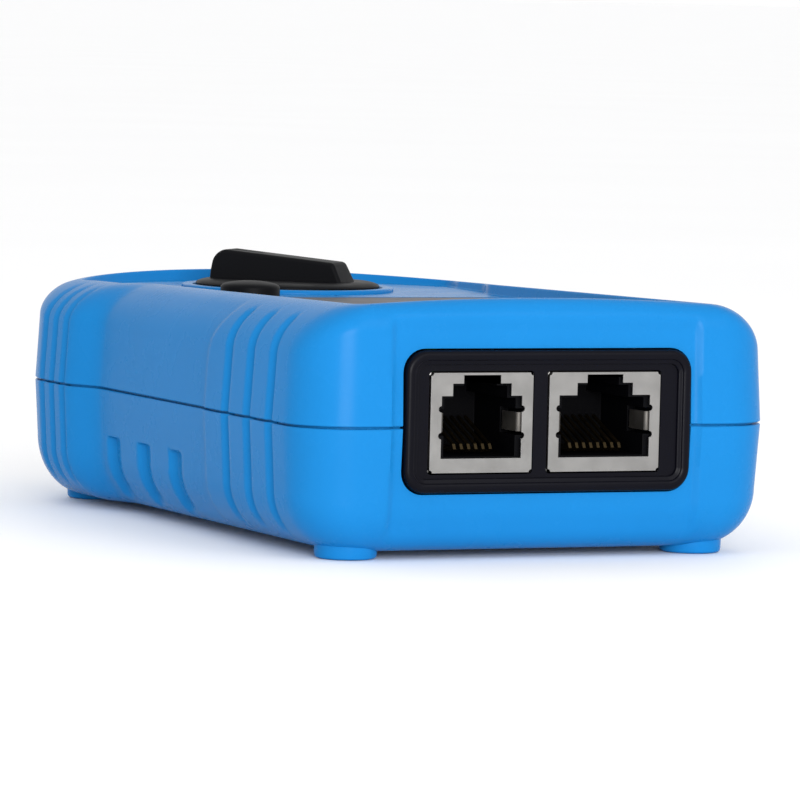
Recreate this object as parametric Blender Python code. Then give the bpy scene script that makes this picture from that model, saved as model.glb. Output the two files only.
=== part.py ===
"""Network cable tester: two-half plastic case with shielded sockets, selector knob and push button.

Every size below is in millimetres; the meshes are written in metres.  The origin is the middle of
the object's footprint, +Z is up and the socket end faces -Y.  Places along the length are given as
a depth from the front face, and along_y() turns a depth into a Y coordinate.
"""

from math import atan2, cos, pi, radians, sin

import bmesh
import bpy
from mathutils import Vector

MM = 0.001
GAP = 0.3                      # clearance between pieces that touch

# ---- case -------------------------------------------------------------------------------------
LENGTH = 114.0
HALF_WIDTH = 34.0              # over the front grip pads
REAR_HALF_WIDTH = 36.3         # over the flared rear end
FRONT_CORNER = 8.0
REAR_CORNER = 16.0
REAR_CORNER_DEPTH = 88.0
FLARE = (73.0, 80.0)           # depths between which the side widens
SEAM = 17.3                    # height of the parting line
BOTTOM = 1.0
PANEL = 30.3                   # height of the recessed top panel
CEILING = 27.9
RIM_HEIGHT = 33.85             # rim over the middle of the front edge
RIM_FALL = 0.0175              # rim drop for each millimetre of depth
RIM_CROWN = 0.8                # rim drop at CROWN_REACH off the middle line
CROWN_REACH = 25.0
WALL_DRAFT = 0.7
TOP_INSET = {"side": 7.4, "front": 3.2, "back": 5.0}
TOP_ROUND_START = {"side": 25.8, "front": 29.8, "back": 27.0}
BOTTOM_INSET = {"side": 7.6, "front": 6.5, "back": 7.5}
BOTTOM_ROUND_START = 8.6
WALL = {"side": 3.0, "front": 2.4, "back": 2.4}
FLOOR = 3.4                    # inner height of the case floor

# ---- surface relief on the sides ----------------------------------------------------------------
GRIP_GROOVES = (12.8, 20.0, 27.5)
GRIP_HALF_WIDTH = 1.5
GRIP_DEPTH = 1.0
GRIP_HEIGHTS = (3.6, 31.0)
SCOOPS = (46.7, 58.6, 69.4)
SCOOP_HALF_WIDTH = 2.4
SCOOP_DEPTH = 0.9
SCOOP_TOP = 10.9
PAD_EDGE = 34.7
PAD_STEP = 0.6
FRONT_FIELD = 22.2             # half width of the slightly sunk middle of the front face
FRONT_SINK = 0.5

# ---- feet and case screws -------------------------------------------------------------------------
FEET = [(side * x, depth) for x, depth in ((24.9, 7.7), (25.0, 95.5)) for side in (-1, 1)]
FOOT_RADIUS = 4.1
BOSS_RADIUS = 3.75
SCREW_RECESS_RADIUS = 3.0
SCREW_SHELF = 8.0
SCREW_TOP = 23.0

# ---- bezel and sockets ----------------------------------------------------------------------------
BEZEL_SIDES = (-20.2, 20.7)
BEZEL_HEIGHTS = (8.8, 27.2)
BEZEL_CORNER = 2.9
BEZEL_RIM = 1.6
BEZEL_DEPTHS = (0.0, 0.8, 2.8)      # rim face, sunk face, back face
JACK_HEIGHTS = (11.4, 24.3)
JACK_DEPTHS = (0.65, 16.6)
SHEET = 0.3
JACKS = {
    "rj12": {"left": -16.55, "width": 14.5, "opening": 11.4, "step": 8.3, "notch": 5.25, "contacts": 6},
    "rj45": {"left": 0.3, "width": 16.0, "opening": 13.1, "step": 8.0, "notch": 5.15, "contacts": 8},
}
OPENING_BASE = 13.25
OPENING_LEVELS = (8.06, 9.66, 10.75)   # tops of the opening, the step and the latch notch
CAVITY_DEPTH = 13.6
CONTACT_PITCH = 1.02
CONTACT_WIDTH = 0.4
CONTACT_THICKNESS = 0.3
FINGER_HEIGHTS = (16.6, 19.2)

# ---- selector, button, label and lights -------------------------------------------------------------
KNOB_DEPTH = 86.3
KNOB_RADIUS = 13.1
KNOB_TURN = radians(135.0)     # direction of the bar's tall end at rest
COLLAR_RADII = (13.5, 15.1)
COLLAR_TOP = 31.05
HUB_RADIUS = 4.0
BAR_HALF_WIDTH = 3.0
BUTTON = (-15.2, 64.0)
BUTTON_RADIUS = 4.1
LABEL_HALF_WIDTH = 22.5
LABEL_DEPTHS = (6.5, 66.0)
LABEL_HEIGHTS = (29.7, 30.25)
LED_X = -12.0
LED_FIRST_DEPTH = 12.0
LED_PITCH = 5.2
LED_COUNT = 9

# ---- boards and battery -----------------------------------------------------------------------------
JACK_BOARD = (9.5, 11.1)
MAIN_BOARD = (23.3, 24.9)
BOARD_SCREWS = [(side * 24.0, depth) for depth in (24.0, 84.0) for side in (-1, 1)]
BATTERY_SIZE = (26.5, 48.5, 17.5)
BATTERY_DEPTH = 44.0
BATTERY_BASE = 3.6
COVER_HALF_WIDTH = 17.0
COVER_DEPTHS = (37.0, 97.0)
COVER_THICKNESS = 1.1
COVER_LEDGE = 2.4


def along_y(depth):
    """Y coordinate of a depth measured from the front face."""
    return depth - LENGTH / 2


# ---- scene, materials and mesh helpers ------------------------------------------------------------------


def clear_scene():
    for thing in list(bpy.data.objects):
        bpy.data.objects.remove(thing, do_unlink=True)


def make_material(name, colour, roughness, metallic=0.0):
    material = bpy.data.materials.new(name)
    material.use_nodes = True
    shader = material.node_tree.nodes["Principled BSDF"]
    shader.inputs["Base Color"].default_value = (*colour, 1.0)
    shader.inputs["Roughness"].default_value = roughness
    shader.inputs["Metallic"].default_value = metallic
    material.diffuse_color = (*colour, 1.0)
    return material


def finish_object(name, shape, material, pivot=(0.0, 0.0, 0.0), smooth=True):
    """Turn a bmesh in millimetres into an object in metres whose origin is at pivot."""
    bmesh.ops.remove_doubles(shape, verts=shape.verts, dist=1e-4)
    bmesh.ops.recalc_face_normals(shape, faces=shape.faces)
    bmesh.ops.translate(shape, verts=shape.verts, vec=-Vector(pivot))
    bmesh.ops.scale(shape, verts=shape.verts, vec=(MM, MM, MM))
    mesh = bpy.data.meshes.new(name)
    shape.to_mesh(mesh)
    shape.free()
    thing = bpy.data.objects.new(name, mesh)
    bpy.context.scene.collection.objects.link(thing)
    thing.location = Vector(pivot) * MM
    if material:
        mesh.materials.append(material)
    if smooth:
        mesh.shade_smooth()
        mesh.set_sharp_from_angle(angle=radians(35))
    return thing


def add_prism(shape, outline, axis, start, end):
    """Extrude a flat outline along an axis: (x, y) along Z, (x, z) along Y, (y, z) along X."""
    place = {
        "X": lambda a, b, along: (along, a, b),
        "Y": lambda a, b, along: (a, along, b),
        "Z": lambda a, b, along: (a, b, along),
    }[axis]
    base = [shape.verts.new(place(a, b, start)) for a, b in outline]
    top = [shape.verts.new(place(a, b, end)) for a, b in outline]
    shape.faces.new(base)
    shape.faces.new(top)
    for i in range(len(outline)):
        j = (i + 1) % len(outline)
        shape.faces.new((base[i], base[j], top[j], top[i]))


def add_turned(shape, profile, centre, segments):
    """Turn a profile of (radius, height) points, listed from the bottom up, about a vertical axis."""
    rings = []
    for radius, height in profile:
        if radius == 0:
            rings.append([shape.verts.new((centre[0], centre[1], height))])
            continue
        angles = [2 * pi * k / segments for k in range(segments)]
        rings.append([shape.verts.new((centre[0] + radius * cos(a), centre[1] + radius * sin(a), height))
                      for a in angles])
    for ring in (rings[0], rings[-1]):
        if len(ring) > 1:
            shape.faces.new(ring)
    for lower, upper in zip(rings, rings[1:]):
        for k in range(segments):
            j = (k + 1) % segments
            corners = [lower[k % len(lower)], lower[j % len(lower)], upper[j % len(upper)], upper[k % len(upper)]]
            shape.faces.new(list(dict.fromkeys(corners)))


def prism(name, outline, axis, start, end, material=None):
    shape = bmesh.new()
    add_prism(shape, outline, axis, start, end)
    return finish_object(name, shape, material, smooth=False)


def turned(name, profile, centre, material=None, segments=24, pivot=(0.0, 0.0, 0.0)):
    shape = bmesh.new()
    add_turned(shape, profile, centre, segments)
    return finish_object(name, shape, material, pivot)


def block(name, x_range, depth_range, z_range, material=None):
    outline = [(x_range[0], z_range[0]), (x_range[1], z_range[0]), (x_range[1], z_range[1]), (x_range[0], z_range[1])]
    return prism(name, outline, "Y", along_y(depth_range[0]), along_y(depth_range[1]), material)


def rod(name, centre, radius, z_range, material=None, segments=24):
    place = (centre[0], along_y(centre[1]))
    return turned(name, [(radius, z_range[0]), (radius, z_range[1])], place, material, segments)


def rounded_rectangle(x_range, y_range, radius, steps=5):
    """Outline of a rectangle with round corners, counter-clockwise."""
    points = []
    corners = ((x_range[1], y_range[0], -90), (x_range[1], y_range[1], 0),
               (x_range[0], y_range[1], 90), (x_range[0], y_range[0], 180))
    for x, y, first in corners:
        cx = x - radius if x == x_range[1] else x + radius
        cy = y - radius if y == y_range[1] else y + radius
        for k in range(steps + 1):
            angle = radians(first + 90 * k / steps)
            points.append((cx + radius * cos(angle), cy + radius * sin(angle)))
    return points


def combine(target, operation, tools):
    """Add or cut every tool in one Boolean; the tools stay as hidden wire guides."""
    group = bpy.data.collections.new(f"{target.name}_{operation.lower()}")
    for tool in tools:
        group.objects.link(tool)
        tool.hide_render = True
        tool.display_type = "WIRE"
    modifier = target.modifiers.new(operation.title(), "BOOLEAN")
    modifier.operation = operation
    modifier.operand_type = "COLLECTION"
    modifier.collection = group
    modifier.solver = "EXACT"
    return target


def round_edges(target, width, segments=2):
    modifier = target.modifiers.new("Edges", "BEVEL")
    modifier.width = width * MM
    modifier.segments = segments
    modifier.limit_method = "ANGLE"
    modifier.angle_limit = radians(40)
    return target


# ---- case outline -----------------------------------------------------------------------------------------


def bump(distance, half_width):
    """Round bump: 1 at the middle, 0 from half_width outwards."""
    share = min(abs(distance) / half_width, 1.0)
    return (1 + cos(pi * share)) / 2


def ease(value, start, end):
    """Smooth rise from 0 at start to 1 at end."""
    share = min(max((value - start) / (end - start), 0.0), 1.0)
    return share * share * (3 - 2 * share)


def side_half_width(depth):
    return HALF_WIDTH + (REAR_HALF_WIDTH - HALF_WIDTH) * ease(depth, *FLARE)


def side_stations():
    """Depths along the straight side where the outline needs a point."""
    stations = {FRONT_CORNER, PAD_EDGE - 0.3, PAD_EDGE + 0.6, REAR_CORNER_DEPTH}
    for centre in GRIP_GROOVES:
        stations.update(centre + GRIP_HALF_WIDTH * share for share in (-1, -0.5, 0, 0.5, 1))
    for centre in SCOOPS:
        stations.update(centre + SCOOP_HALF_WIDTH * share for share in (-1, -0.4, 0.4, 1))
    stations.update(FLARE[0] + (FLARE[1] - FLARE[0]) * share for share in (0.25, 0.5, 0.75, 1))
    return sorted(stations)


def half_outline():
    """Right half of the case outline as (x, depth, normal x, normal y, is_side), front to back."""
    points = [(x, 0.0, 0.0, -1.0, False) for x in (0.0, FRONT_FIELD - 0.8, FRONT_FIELD + 0.4)]
    for k in range(7):
        angle = radians(-90 + 90 * k / 7)
        x = HALF_WIDTH - FRONT_CORNER + FRONT_CORNER * cos(angle)
        points.append((x, FRONT_CORNER + FRONT_CORNER * sin(angle), cos(angle), sin(angle), False))
    points += [(side_half_width(depth), depth, 1.0, 0.0, True) for depth in side_stations()]
    corner_x = REAR_HALF_WIDTH - REAR_CORNER
    back = LENGTH - REAR_CORNER_DEPTH
    bow = (corner_x ** 2 + back ** 2 - REAR_CORNER ** 2) / (2 * (back - REAR_CORNER))
    turn = atan2(bow - back, corner_x)
    for k in range(1, 7):
        angle = turn * k / 6
        points.append((corner_x + REAR_CORNER * cos(angle), REAR_CORNER_DEPTH + REAR_CORNER * sin(angle),
                       cos(angle), sin(angle), False))
    for k in range(1, 6):
        angle = turn + (pi / 2 - turn) * k / 5
        points.append((bow * cos(angle), LENGTH - bow + bow * sin(angle), cos(angle), sin(angle), False))
    return points


def full_outline():
    right = half_outline()
    left = [(-x, depth, -nx, ny, side) for x, depth, nx, ny, side in reversed(right[1:-1])]
    return right + left


def by_direction(amounts, nx, ny):
    """Mix a side amount and a front or back amount by where the wall faces."""
    return amounts["side"] * nx * nx + amounts["front" if ny < 0 else "back"] * ny * ny


def relief(x, depth, is_side, height):
    """How far the wall is sunk at one place: grip grooves, scoops, side panel and front field."""
    fade = ease(height, 2.0, 6.0) * (1 - ease(height, 28.5, 31.5))
    if not is_side:
        inside_field = depth == 0 and abs(x) < FRONT_FIELD
        return FRONT_SINK * fade if inside_field else 0.0
    sunk = PAD_STEP * ease(depth, PAD_EDGE - 0.3, PAD_EDGE + 0.6) * (1 - ease(depth, *FLARE)) * fade
    grip_fade = ease(height, GRIP_HEIGHTS[0], 6.5) * (1 - ease(height, 28.0, GRIP_HEIGHTS[1]))
    for centre in GRIP_GROOVES:
        sunk += GRIP_DEPTH * bump(depth - centre, GRIP_HALF_WIDTH) * grip_fade
    scoop_fade = (1 - ease(height, SCOOP_TOP - 0.8, SCOOP_TOP)) * ease(height, 1.5, 4.0)
    for centre in SCOOPS:
        sunk += SCOOP_DEPTH * bump(depth - centre, SCOOP_HALF_WIDTH) * scoop_fade
    return sunk


def rim_height(x, depth):
    return RIM_HEIGHT - RIM_FALL * depth - RIM_CROWN * (x / CROWN_REACH) ** 2


def case_ring(level):
    """One closed ring of points round the case; level(nx, ny, x, depth) gives its inset and height."""
    ring = []
    for x, depth, nx, ny, is_side in full_outline():
        inset, height, carved = level(nx, ny, x, depth)
        inset += relief(x, depth, is_side, height) if carved else 0.0
        ring.append((x - nx * inset, along_y(depth - ny * inset), height))
    return ring


def upper_wall_level(share):
    def level(nx, ny, x, depth):
        top = by_direction(TOP_ROUND_START, nx, ny)
        base = SEAM + GAP / 2
        return WALL_DRAFT * share, base + (top - base) * share, True
    return level


def upper_round_level(angle):
    def level(nx, ny, x, depth):
        reach = by_direction(TOP_INSET, nx, ny)
        base = by_direction(TOP_ROUND_START, nx, ny)
        rim = rim_height(x - nx * reach, depth - ny * reach)
        inset = WALL_DRAFT + (reach - WALL_DRAFT) * (1 - cos(angle))
        return inset, base + (rim - base) * sin(angle), True
    return level


def lower_wall_level(share):
    def level(nx, ny, x, depth):
        top = SEAM - GAP / 2
        return WALL_DRAFT * share, top + (BOTTOM_ROUND_START - top) * share, True
    return level


def lower_round_level(angle):
    def level(nx, ny, x, depth):
        reach = by_direction(BOTTOM_INSET, nx, ny)
        inset = WALL_DRAFT + (reach - WALL_DRAFT) * (1 - cos(angle))
        return inset, BOTTOM_ROUND_START - (BOTTOM_ROUND_START - BOTTOM) * sin(angle), True
    return level


def inner_level(extra, height):
    def level(nx, ny, x, depth):
        return by_direction(WALL, nx, ny) + extra, height, False
    return level


def recess_level(nx, ny, x, depth):
    return by_direction(TOP_INSET, nx, ny) + 0.4, PANEL, False


def shell(name, levels, material):
    """Closed shell whose surface runs through the rings of every level, capped at both ends."""
    shape = bmesh.new()
    rings = [[shape.verts.new(point) for point in case_ring(level)] for level in levels]
    shape.faces.new(rings[0])
    shape.faces.new(rings[-1])
    count = len(rings[0])
    for lower, upper in zip(rings, rings[1:]):
        for k in range(count):
            j = (k + 1) % count
            shape.faces.new((lower[k], lower[j], upper[j], upper[k]))
    return finish_object(name, shape, material)


# ---- case pieces ------------------------------------------------------------------------------------------


def bezel_outline(margin=0.0, steps=5):
    x_range = (BEZEL_SIDES[0] - margin, BEZEL_SIDES[1] + margin)
    z_range = (BEZEL_HEIGHTS[0] - margin, BEZEL_HEIGHTS[1] + margin)
    return rounded_rectangle(x_range, z_range, BEZEL_CORNER + margin, steps)


def bezel_cutter(name):
    return prism(name, bezel_outline(GAP), "Y", along_y(-2.0), along_y(5.0))


def led_places():
    return [(LED_X, LED_FIRST_DEPTH + LED_PITCH * k) for k in range(LED_COUNT)]


def label_outline(margin=0.0):
    x_range = (-LABEL_HALF_WIDTH - margin, LABEL_HALF_WIDTH + margin)
    y_range = (along_y(LABEL_DEPTHS[0] - margin), along_y(LABEL_DEPTHS[1] + margin))
    return rounded_rectangle(x_range, y_range, 3.0 + margin, 4)


def make_top_shell(blue):
    levels = [inner_level(2.6, CEILING), inner_level(0.9, 24.8), inner_level(0.0, SEAM + GAP / 2)]
    levels += [upper_wall_level(share) for share in (0, 1)]
    levels += [upper_round_level(radians(angle)) for angle in (22, 45, 68, 90)]
    levels += [recess_level]
    top = shell("top_shell", levels, blue)

    added = []
    for k, place in enumerate(FEET):
        added.append(rod(f"guide_top_boss_{k}", place, BOSS_RADIUS, (SEAM + GAP / 2, CEILING + 1.0)))
    for k, place in enumerate(BOARD_SCREWS):
        added.append(rod(f"guide_board_post_{k}", place, 2.6, (MAIN_BOARD[1] + GAP, CEILING + 1.0)))
    collar = [(COLLAR_RADII[0], PANEL - 1.0), (COLLAR_RADII[1], PANEL - 1.0), (COLLAR_RADII[1] - 0.3, COLLAR_TOP),
              (COLLAR_RADII[0], COLLAR_TOP)]
    added.append(ring_solid("guide_collar", collar, (0.0, along_y(KNOB_DEPTH)), 40))
    combine(top, "UNION", added)

    cuts = [bezel_cutter("cut_top_bezel")]
    cuts.append(prism("cut_label_pocket", label_outline(GAP), "Z", (LABEL_HEIGHTS[0] - GAP), PANEL + 5.0))
    cuts.append(rod("cut_hub_hole", (0.0, KNOB_DEPTH), HUB_RADIUS + 0.5, (CEILING - 5.0, PANEL + 5.0), segments=32))
    cuts.append(rod("cut_button_hole", BUTTON, BUTTON_RADIUS + 0.35, (CEILING - 2.0, PANEL + 5.0), segments=32))
    for k, place in enumerate(led_places()):
        cuts.append(rod(f"cut_led_{k}", place, 1.8, (CEILING - 2.0, LABEL_HEIGHTS[0]), segments=12))
    for k, place in enumerate(FEET):
        cuts.append(rod(f"cut_top_pilot_{k}", place, 1.5 + GAP, (SEAM - 1.0, SCREW_TOP + 1.0), segments=12))
    for k, place in enumerate(BOARD_SCREWS):
        cuts.append(rod(f"cut_post_pilot_{k}", place, 1.1 + GAP, (MAIN_BOARD[0], 28.5), segments=12))
    return combine(top, "DIFFERENCE", cuts)


def ring_solid(name, profile, centre, segments, material=None):
    """Turn a closed profile that stays clear of the axis."""
    shape = bmesh.new()
    rings = []
    for k in range(segments):
        angle = 2 * pi * k / segments
        rings.append([shape.verts.new((centre[0] + radius * cos(angle), centre[1] + radius * sin(angle), height))
                      for radius, height in profile])
    for k in range(segments):
        here, after = rings[k], rings[(k + 1) % segments]
        for i in range(len(profile)):
            j = (i + 1) % len(profile)
            shape.faces.new((here[i], here[j], after[j], after[i]))
    return finish_object(name, shape, material)


def make_bottom_shell(blue):
    levels = [inner_level(2.4, FLOOR), inner_level(0.5, 6.5), inner_level(0.0, SEAM - GAP / 2)]
    levels += [lower_wall_level(share) for share in (0, 0.72, 0.82, 1)]
    levels += [lower_round_level(radians(angle)) for angle in (25, 50, 72, 90)]
    bottom = shell("bottom_shell", levels, blue)

    added = []
    for k, place in enumerate(FEET):
        centre = (place[0], along_y(place[1]))
        foot = [(FOOT_RADIUS - 0.35, 0.0), (FOOT_RADIUS, 0.35), (FOOT_RADIUS, FLOOR - 0.4)]
        added.append(turned(f"guide_foot_{k}", foot, centre))
        added.append(rod(f"guide_bottom_boss_{k}", place, BOSS_RADIUS, (FLOOR - 1.0, SEAM - GAP / 2)))
    for side in (-1, 1):
        x_range = sorted((side * 14.4, side * 15.6))
        added.append(block(f"guide_bay_rib_{side}", x_range, (38.0, 94.0), (FLOOR - 0.5, 15.0)))
    combine(bottom, "UNION", added)

    cover_x = (-COVER_HALF_WIDTH - GAP, COVER_HALF_WIDTH + GAP)
    cover_depths = (COVER_DEPTHS[0] - GAP, COVER_DEPTHS[1] + GAP)
    cuts = [bezel_cutter("cut_bottom_bezel")]
    cuts.append(block("cut_cover_recess", cover_x, cover_depths, (-1.0, COVER_LEDGE)))
    cuts.append(block("cut_battery_mouth", (-13.8, 13.8), (COVER_DEPTHS[0] + 2.5, COVER_DEPTHS[1] - 2.5), (-2.0, 5.0)))
    for k, place in enumerate(FEET):
        cuts.append(rod(f"cut_screw_recess_{k}", place, SCREW_RECESS_RADIUS, (-1.0, SCREW_SHELF)))
        cuts.append(rod(f"cut_screw_hole_{k}", place, 1.5 + GAP, (SCREW_SHELF - 1.0, SEAM + 1.0), segments=16))
    return combine(bottom, "DIFFERENCE", cuts)


def make_battery_cover(blue):
    cover = block("battery_cover", (-COVER_HALF_WIDTH, COVER_HALF_WIDTH), COVER_DEPTHS,
                  (BOTTOM, BOTTOM + COVER_THICKNESS), blue)
    added = [block(f"guide_cover_rib_{side}", sorted((side * 9.0, side * 10.2)), (42.0, 92.0),
                   (BOTTOM + 0.5, BATTERY_BASE - GAP)) for side in (-1, 1)]
    combine(cover, "UNION", added)
    cuts = [block(f"cut_thumb_ridge_{k}", (-5.0, 5.0), (88.0 + 2.0 * k, 89.0 + 2.0 * k), (0.0, BOTTOM + 0.4))
            for k in range(3)]
    return combine(cover, "DIFFERENCE", cuts)


def make_bezel(black):
    bezel = prism("port_bezel", bezel_outline(), "Y", along_y(BEZEL_DEPTHS[0]), along_y(BEZEL_DEPTHS[2]), black)
    cuts = [prism("cut_bezel_floor", bezel_outline(-BEZEL_RIM), "Y", along_y(-2.0), along_y(BEZEL_DEPTHS[1]))]
    for key, jack in JACKS.items():
        x_range = (jack["left"] - GAP, jack["left"] + jack["width"] + GAP)
        cuts.append(block(f"cut_{key}_window", x_range, (-2.0, 5.0), (JACK_HEIGHTS[0] - GAP, JACK_HEIGHTS[1] + GAP)))
    return combine(bezel, "DIFFERENCE", cuts)


# ---- sockets ------------------------------------------------------------------------------------------------


def keyhole(jack, shrink=0.0):
    """Socket opening: wide mouth, step and latch notch, symmetric about the jack's middle."""
    middle = jack["left"] + jack["width"] / 2
    half = [jack["opening"] / 2 - shrink, jack["step"] / 2 - shrink / 2, jack["notch"] / 2 - shrink / 2]
    tops = [OPENING_BASE + level - shrink / 2 for level in OPENING_LEVELS]
    right = [(half[0], OPENING_BASE + shrink / 3), (half[0], tops[0]), (half[1], tops[0]), (half[1], tops[1]),
             (half[2], tops[1]), (half[2], tops[2])]
    left = [(-x, z) for x, z in reversed(right)]
    return [(middle + x, z) for x, z in right + left]


def make_shield(key, jack, nickel):
    left, right = jack["left"], jack["left"] + jack["width"]
    shield = block(f"{key}_shield", (left, right), JACK_DEPTHS, JACK_HEIGHTS, nickel)
    cuts = [block(f"cut_{key}_shield_inside", (left + SHEET, right - SHEET), (JACK_DEPTHS[0] + SHEET, 20.0),
                  (0.0, JACK_HEIGHTS[1] - SHEET))]
    cuts.append(prism(f"cut_{key}_shield_face", keyhole(jack), "Y", along_y(-1.0), along_y(2.0)))
    combine(shield, "DIFFERENCE", cuts)
    middle = (left + right) / 2
    face = JACK_DEPTHS[0]
    fingers = []
    for side in (-1, 1):
        edge = middle + side * (jack["opening"] / 2 + 0.15)
        outline = [(edge, along_y(face)), (edge - side * SHEET, along_y(face)),
                   (edge - side * 0.75, along_y(face + 4.2)), (edge - side * 0.45, along_y(face + 4.2))]
        fingers.append(prism(f"guide_{key}_finger_{side}", outline, "Z", *FINGER_HEIGHTS))
    return combine(shield, "UNION", fingers)


def make_housing(key, jack, black):
    left, right = jack["left"] + 2 * SHEET, jack["left"] + jack["width"] - 2 * SHEET
    front = JACK_DEPTHS[0] + 2 * SHEET
    housing = block(f"{key}_housing", (left, right), (front, JACK_DEPTHS[1] - 0.3),
                    (JACK_BOARD[1] + GAP, JACK_HEIGHTS[1] - 2 * SHEET), black)
    middle = (left + right) / 2
    cuts = [prism(f"cut_{key}_cavity", keyhole(jack, 0.65), "Y", along_y(-1.0), along_y(CAVITY_DEPTH))]
    half = jack["opening"] / 2
    for side in (-1, 1):
        x_range = sorted((middle + side * (half - 1.4), middle + side * (half + 0.5)))
        z_range = (FINGER_HEIGHTS[0] - 0.4, FINGER_HEIGHTS[1] + 0.4)
        cuts.append(block(f"cut_{key}_finger_slot_{side}", x_range, (-1.0, front + 4.6), z_range))
    return combine(housing, "DIFFERENCE", cuts)


def make_contacts(key, jack, gold):
    """Hairpin spring wires: along the cavity floor, round a bend near the mouth and up to the back."""
    middle = jack["left"] + jack["width"] / 2
    base = OPENING_BASE + 0.4 + GAP
    path = [(12.9, base), (3.9, base), (3.4, base + 0.35), (3.7, base + 0.85), (11.2, base + 3.9)]
    outline = ribbon([(along_y(depth), height) for depth, height in path], CONTACT_THICKNESS)
    for k in range(jack["contacts"]):
        x = middle + (k - (jack["contacts"] - 1) / 2) * CONTACT_PITCH
        prism(f"{key}_contact_{k + 1}", outline, "X", x - CONTACT_WIDTH / 2, x + CONTACT_WIDTH / 2, gold)


def ribbon(path, thickness):
    """Closed outline of a strip of even thickness along a bent path."""
    points = [Vector(point) for point in path]
    sides = []
    for k, point in enumerate(points):
        before = (point - points[k - 1]).normalized() if k else (points[1] - point).normalized()
        after = (points[k + 1] - point).normalized() if k + 1 < len(points) else before
        along = (before + after).normalized()
        across = Vector((-along.y, along.x)) * (thickness / 2) / max(along.dot(before), 0.5)
        sides.append((point + across, point - across))
    return [tuple(side[0]) for side in sides] + [tuple(side[1]) for side in reversed(sides)]


# ---- controls -------------------------------------------------------------------------------------------------


def make_knob(black):
    centre = (0.0, along_y(KNOB_DEPTH))
    flange = [(HUB_RADIUS, CEILING - 0.1), (HUB_RADIUS, PANEL + GAP), (KNOB_RADIUS - 0.4, PANEL + GAP),
              (KNOB_RADIUS, PANEL + GAP + 0.3), (KNOB_RADIUS - 0.2, 31.25), (KNOB_RADIUS - 0.9, 31.6)]
    knob = turned("selector_knob", flange, centre, black, 40, pivot=(*centre, PANEL))
    side_view = [(-9.4, 31.1), (11.0, 31.1), (10.7, 33.4), (10.0, 35.0), (8.6, 35.75), (-7.6, 34.45), (-8.1, 34.2)]
    bar = prism("guide_knob_bar", side_view, "Y", -BAR_HALF_WIDTH, BAR_HALF_WIDTH)
    round_edges(bar, 0.7)
    bar.location = Vector((*centre, 0.0)) * MM
    bar.rotation_euler.z = KNOB_TURN
    return combine(knob, "UNION", [bar])


def make_rotor(grey):
    """Selector rotor under the panel: a notched disc that carries the wiper."""
    centre = (0.0, along_y(KNOB_DEPTH))
    notches, samples, radius = 16, 64, 9.0
    outline = []
    for k in range(samples):
        angle = 2 * pi * k / samples
        reach = radius - 0.35 * (1 - cos(notches * angle))
        outline.append((centre[0] + reach * cos(angle), centre[1] + reach * sin(angle)))
    shape = bmesh.new()
    add_prism(shape, outline, "Z", MAIN_BOARD[1] + 1.2, CEILING - 0.4)
    return finish_object("selector_rotor", shape, grey, pivot=(*centre, CEILING), smooth=False)


def make_wiper(gold):
    """Three-legged contact spring that turns with the rotor."""
    centre = (0.0, along_y(KNOB_DEPTH))
    outline = []
    for leg in range(3):
        for offset, radius in ((-8, 2.2), (-8, 7.2), (8, 7.2), (8, 2.2)):
            angle = radians(120 * leg + offset * (2.2 / radius + 0.6))
            outline.append((centre[0] + radius * cos(angle), centre[1] + radius * sin(angle)))
    shape = bmesh.new()
    add_prism(shape, outline, "Z", MAIN_BOARD[1] + 0.4, MAIN_BOARD[1] + 0.9)
    return finish_object("wiper_spring", shape, gold, pivot=(*centre, CEILING), smooth=False)


def make_button(black):
    centre = (BUTTON[0], along_y(BUTTON[1]))
    profile = [(5.0, 27.2), (5.0, 27.6), (BUTTON_RADIUS, 27.6), (BUTTON_RADIUS, 31.6), (3.75, 32.15), (2.9, 32.5),
               (1.5, 32.67), (0, 32.7)]
    return turned("test_button", profile, centre, black, 32, pivot=(*centre, PANEL))


def make_button_switch(black, red):
    x, depth = BUTTON
    body = block("button_switch_body", (x - 3, x + 3), (depth - 3, depth + 3), (MAIN_BOARD[1] + GAP, 26.2), black)
    combine(body, "DIFFERENCE", [rod("cut_button_switch", BUTTON, 1.5 + GAP, (25.0, 28.0), segments=16)])
    centre = (x, along_y(depth))
    turned("button_switch_plunger", [(1.5, 25.8), (1.5, 26.8), (0, 26.9)], centre, red, 16, pivot=(*centre, 26.3))


def make_label(film):
    label = prism("faceplate_label", label_outline(), "Z", *LABEL_HEIGHTS, film)
    cuts = [rod("cut_label_button", BUTTON, BUTTON_RADIUS + 1.2, (29.0, 32.0), segments=32)]
    for k, place in enumerate(led_places()):
        cuts.append(rod(f"cut_label_led_{k}", place, 1.8, (29.0, 32.0), segments=12))
    return combine(label, "DIFFERENCE", cuts)


def make_leds(green, amber):
    for k, (x, depth) in enumerate(led_places()):
        name = f"led_{k + 1}" if k < LED_COUNT - 1 else "led_ground"
        profile = [(1.9, MAIN_BOARD[1] + GAP), (1.9, 26.0), (1.5, 26.0), (1.5, 29.9), (1.1, 30.25), (0, 30.4)]
        turned(name, profile, (x, along_y(depth)), green if k < LED_COUNT - 1 else amber, 12)


# ---- boards, battery and fasteners ------------------------------------------------------------------------------


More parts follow.
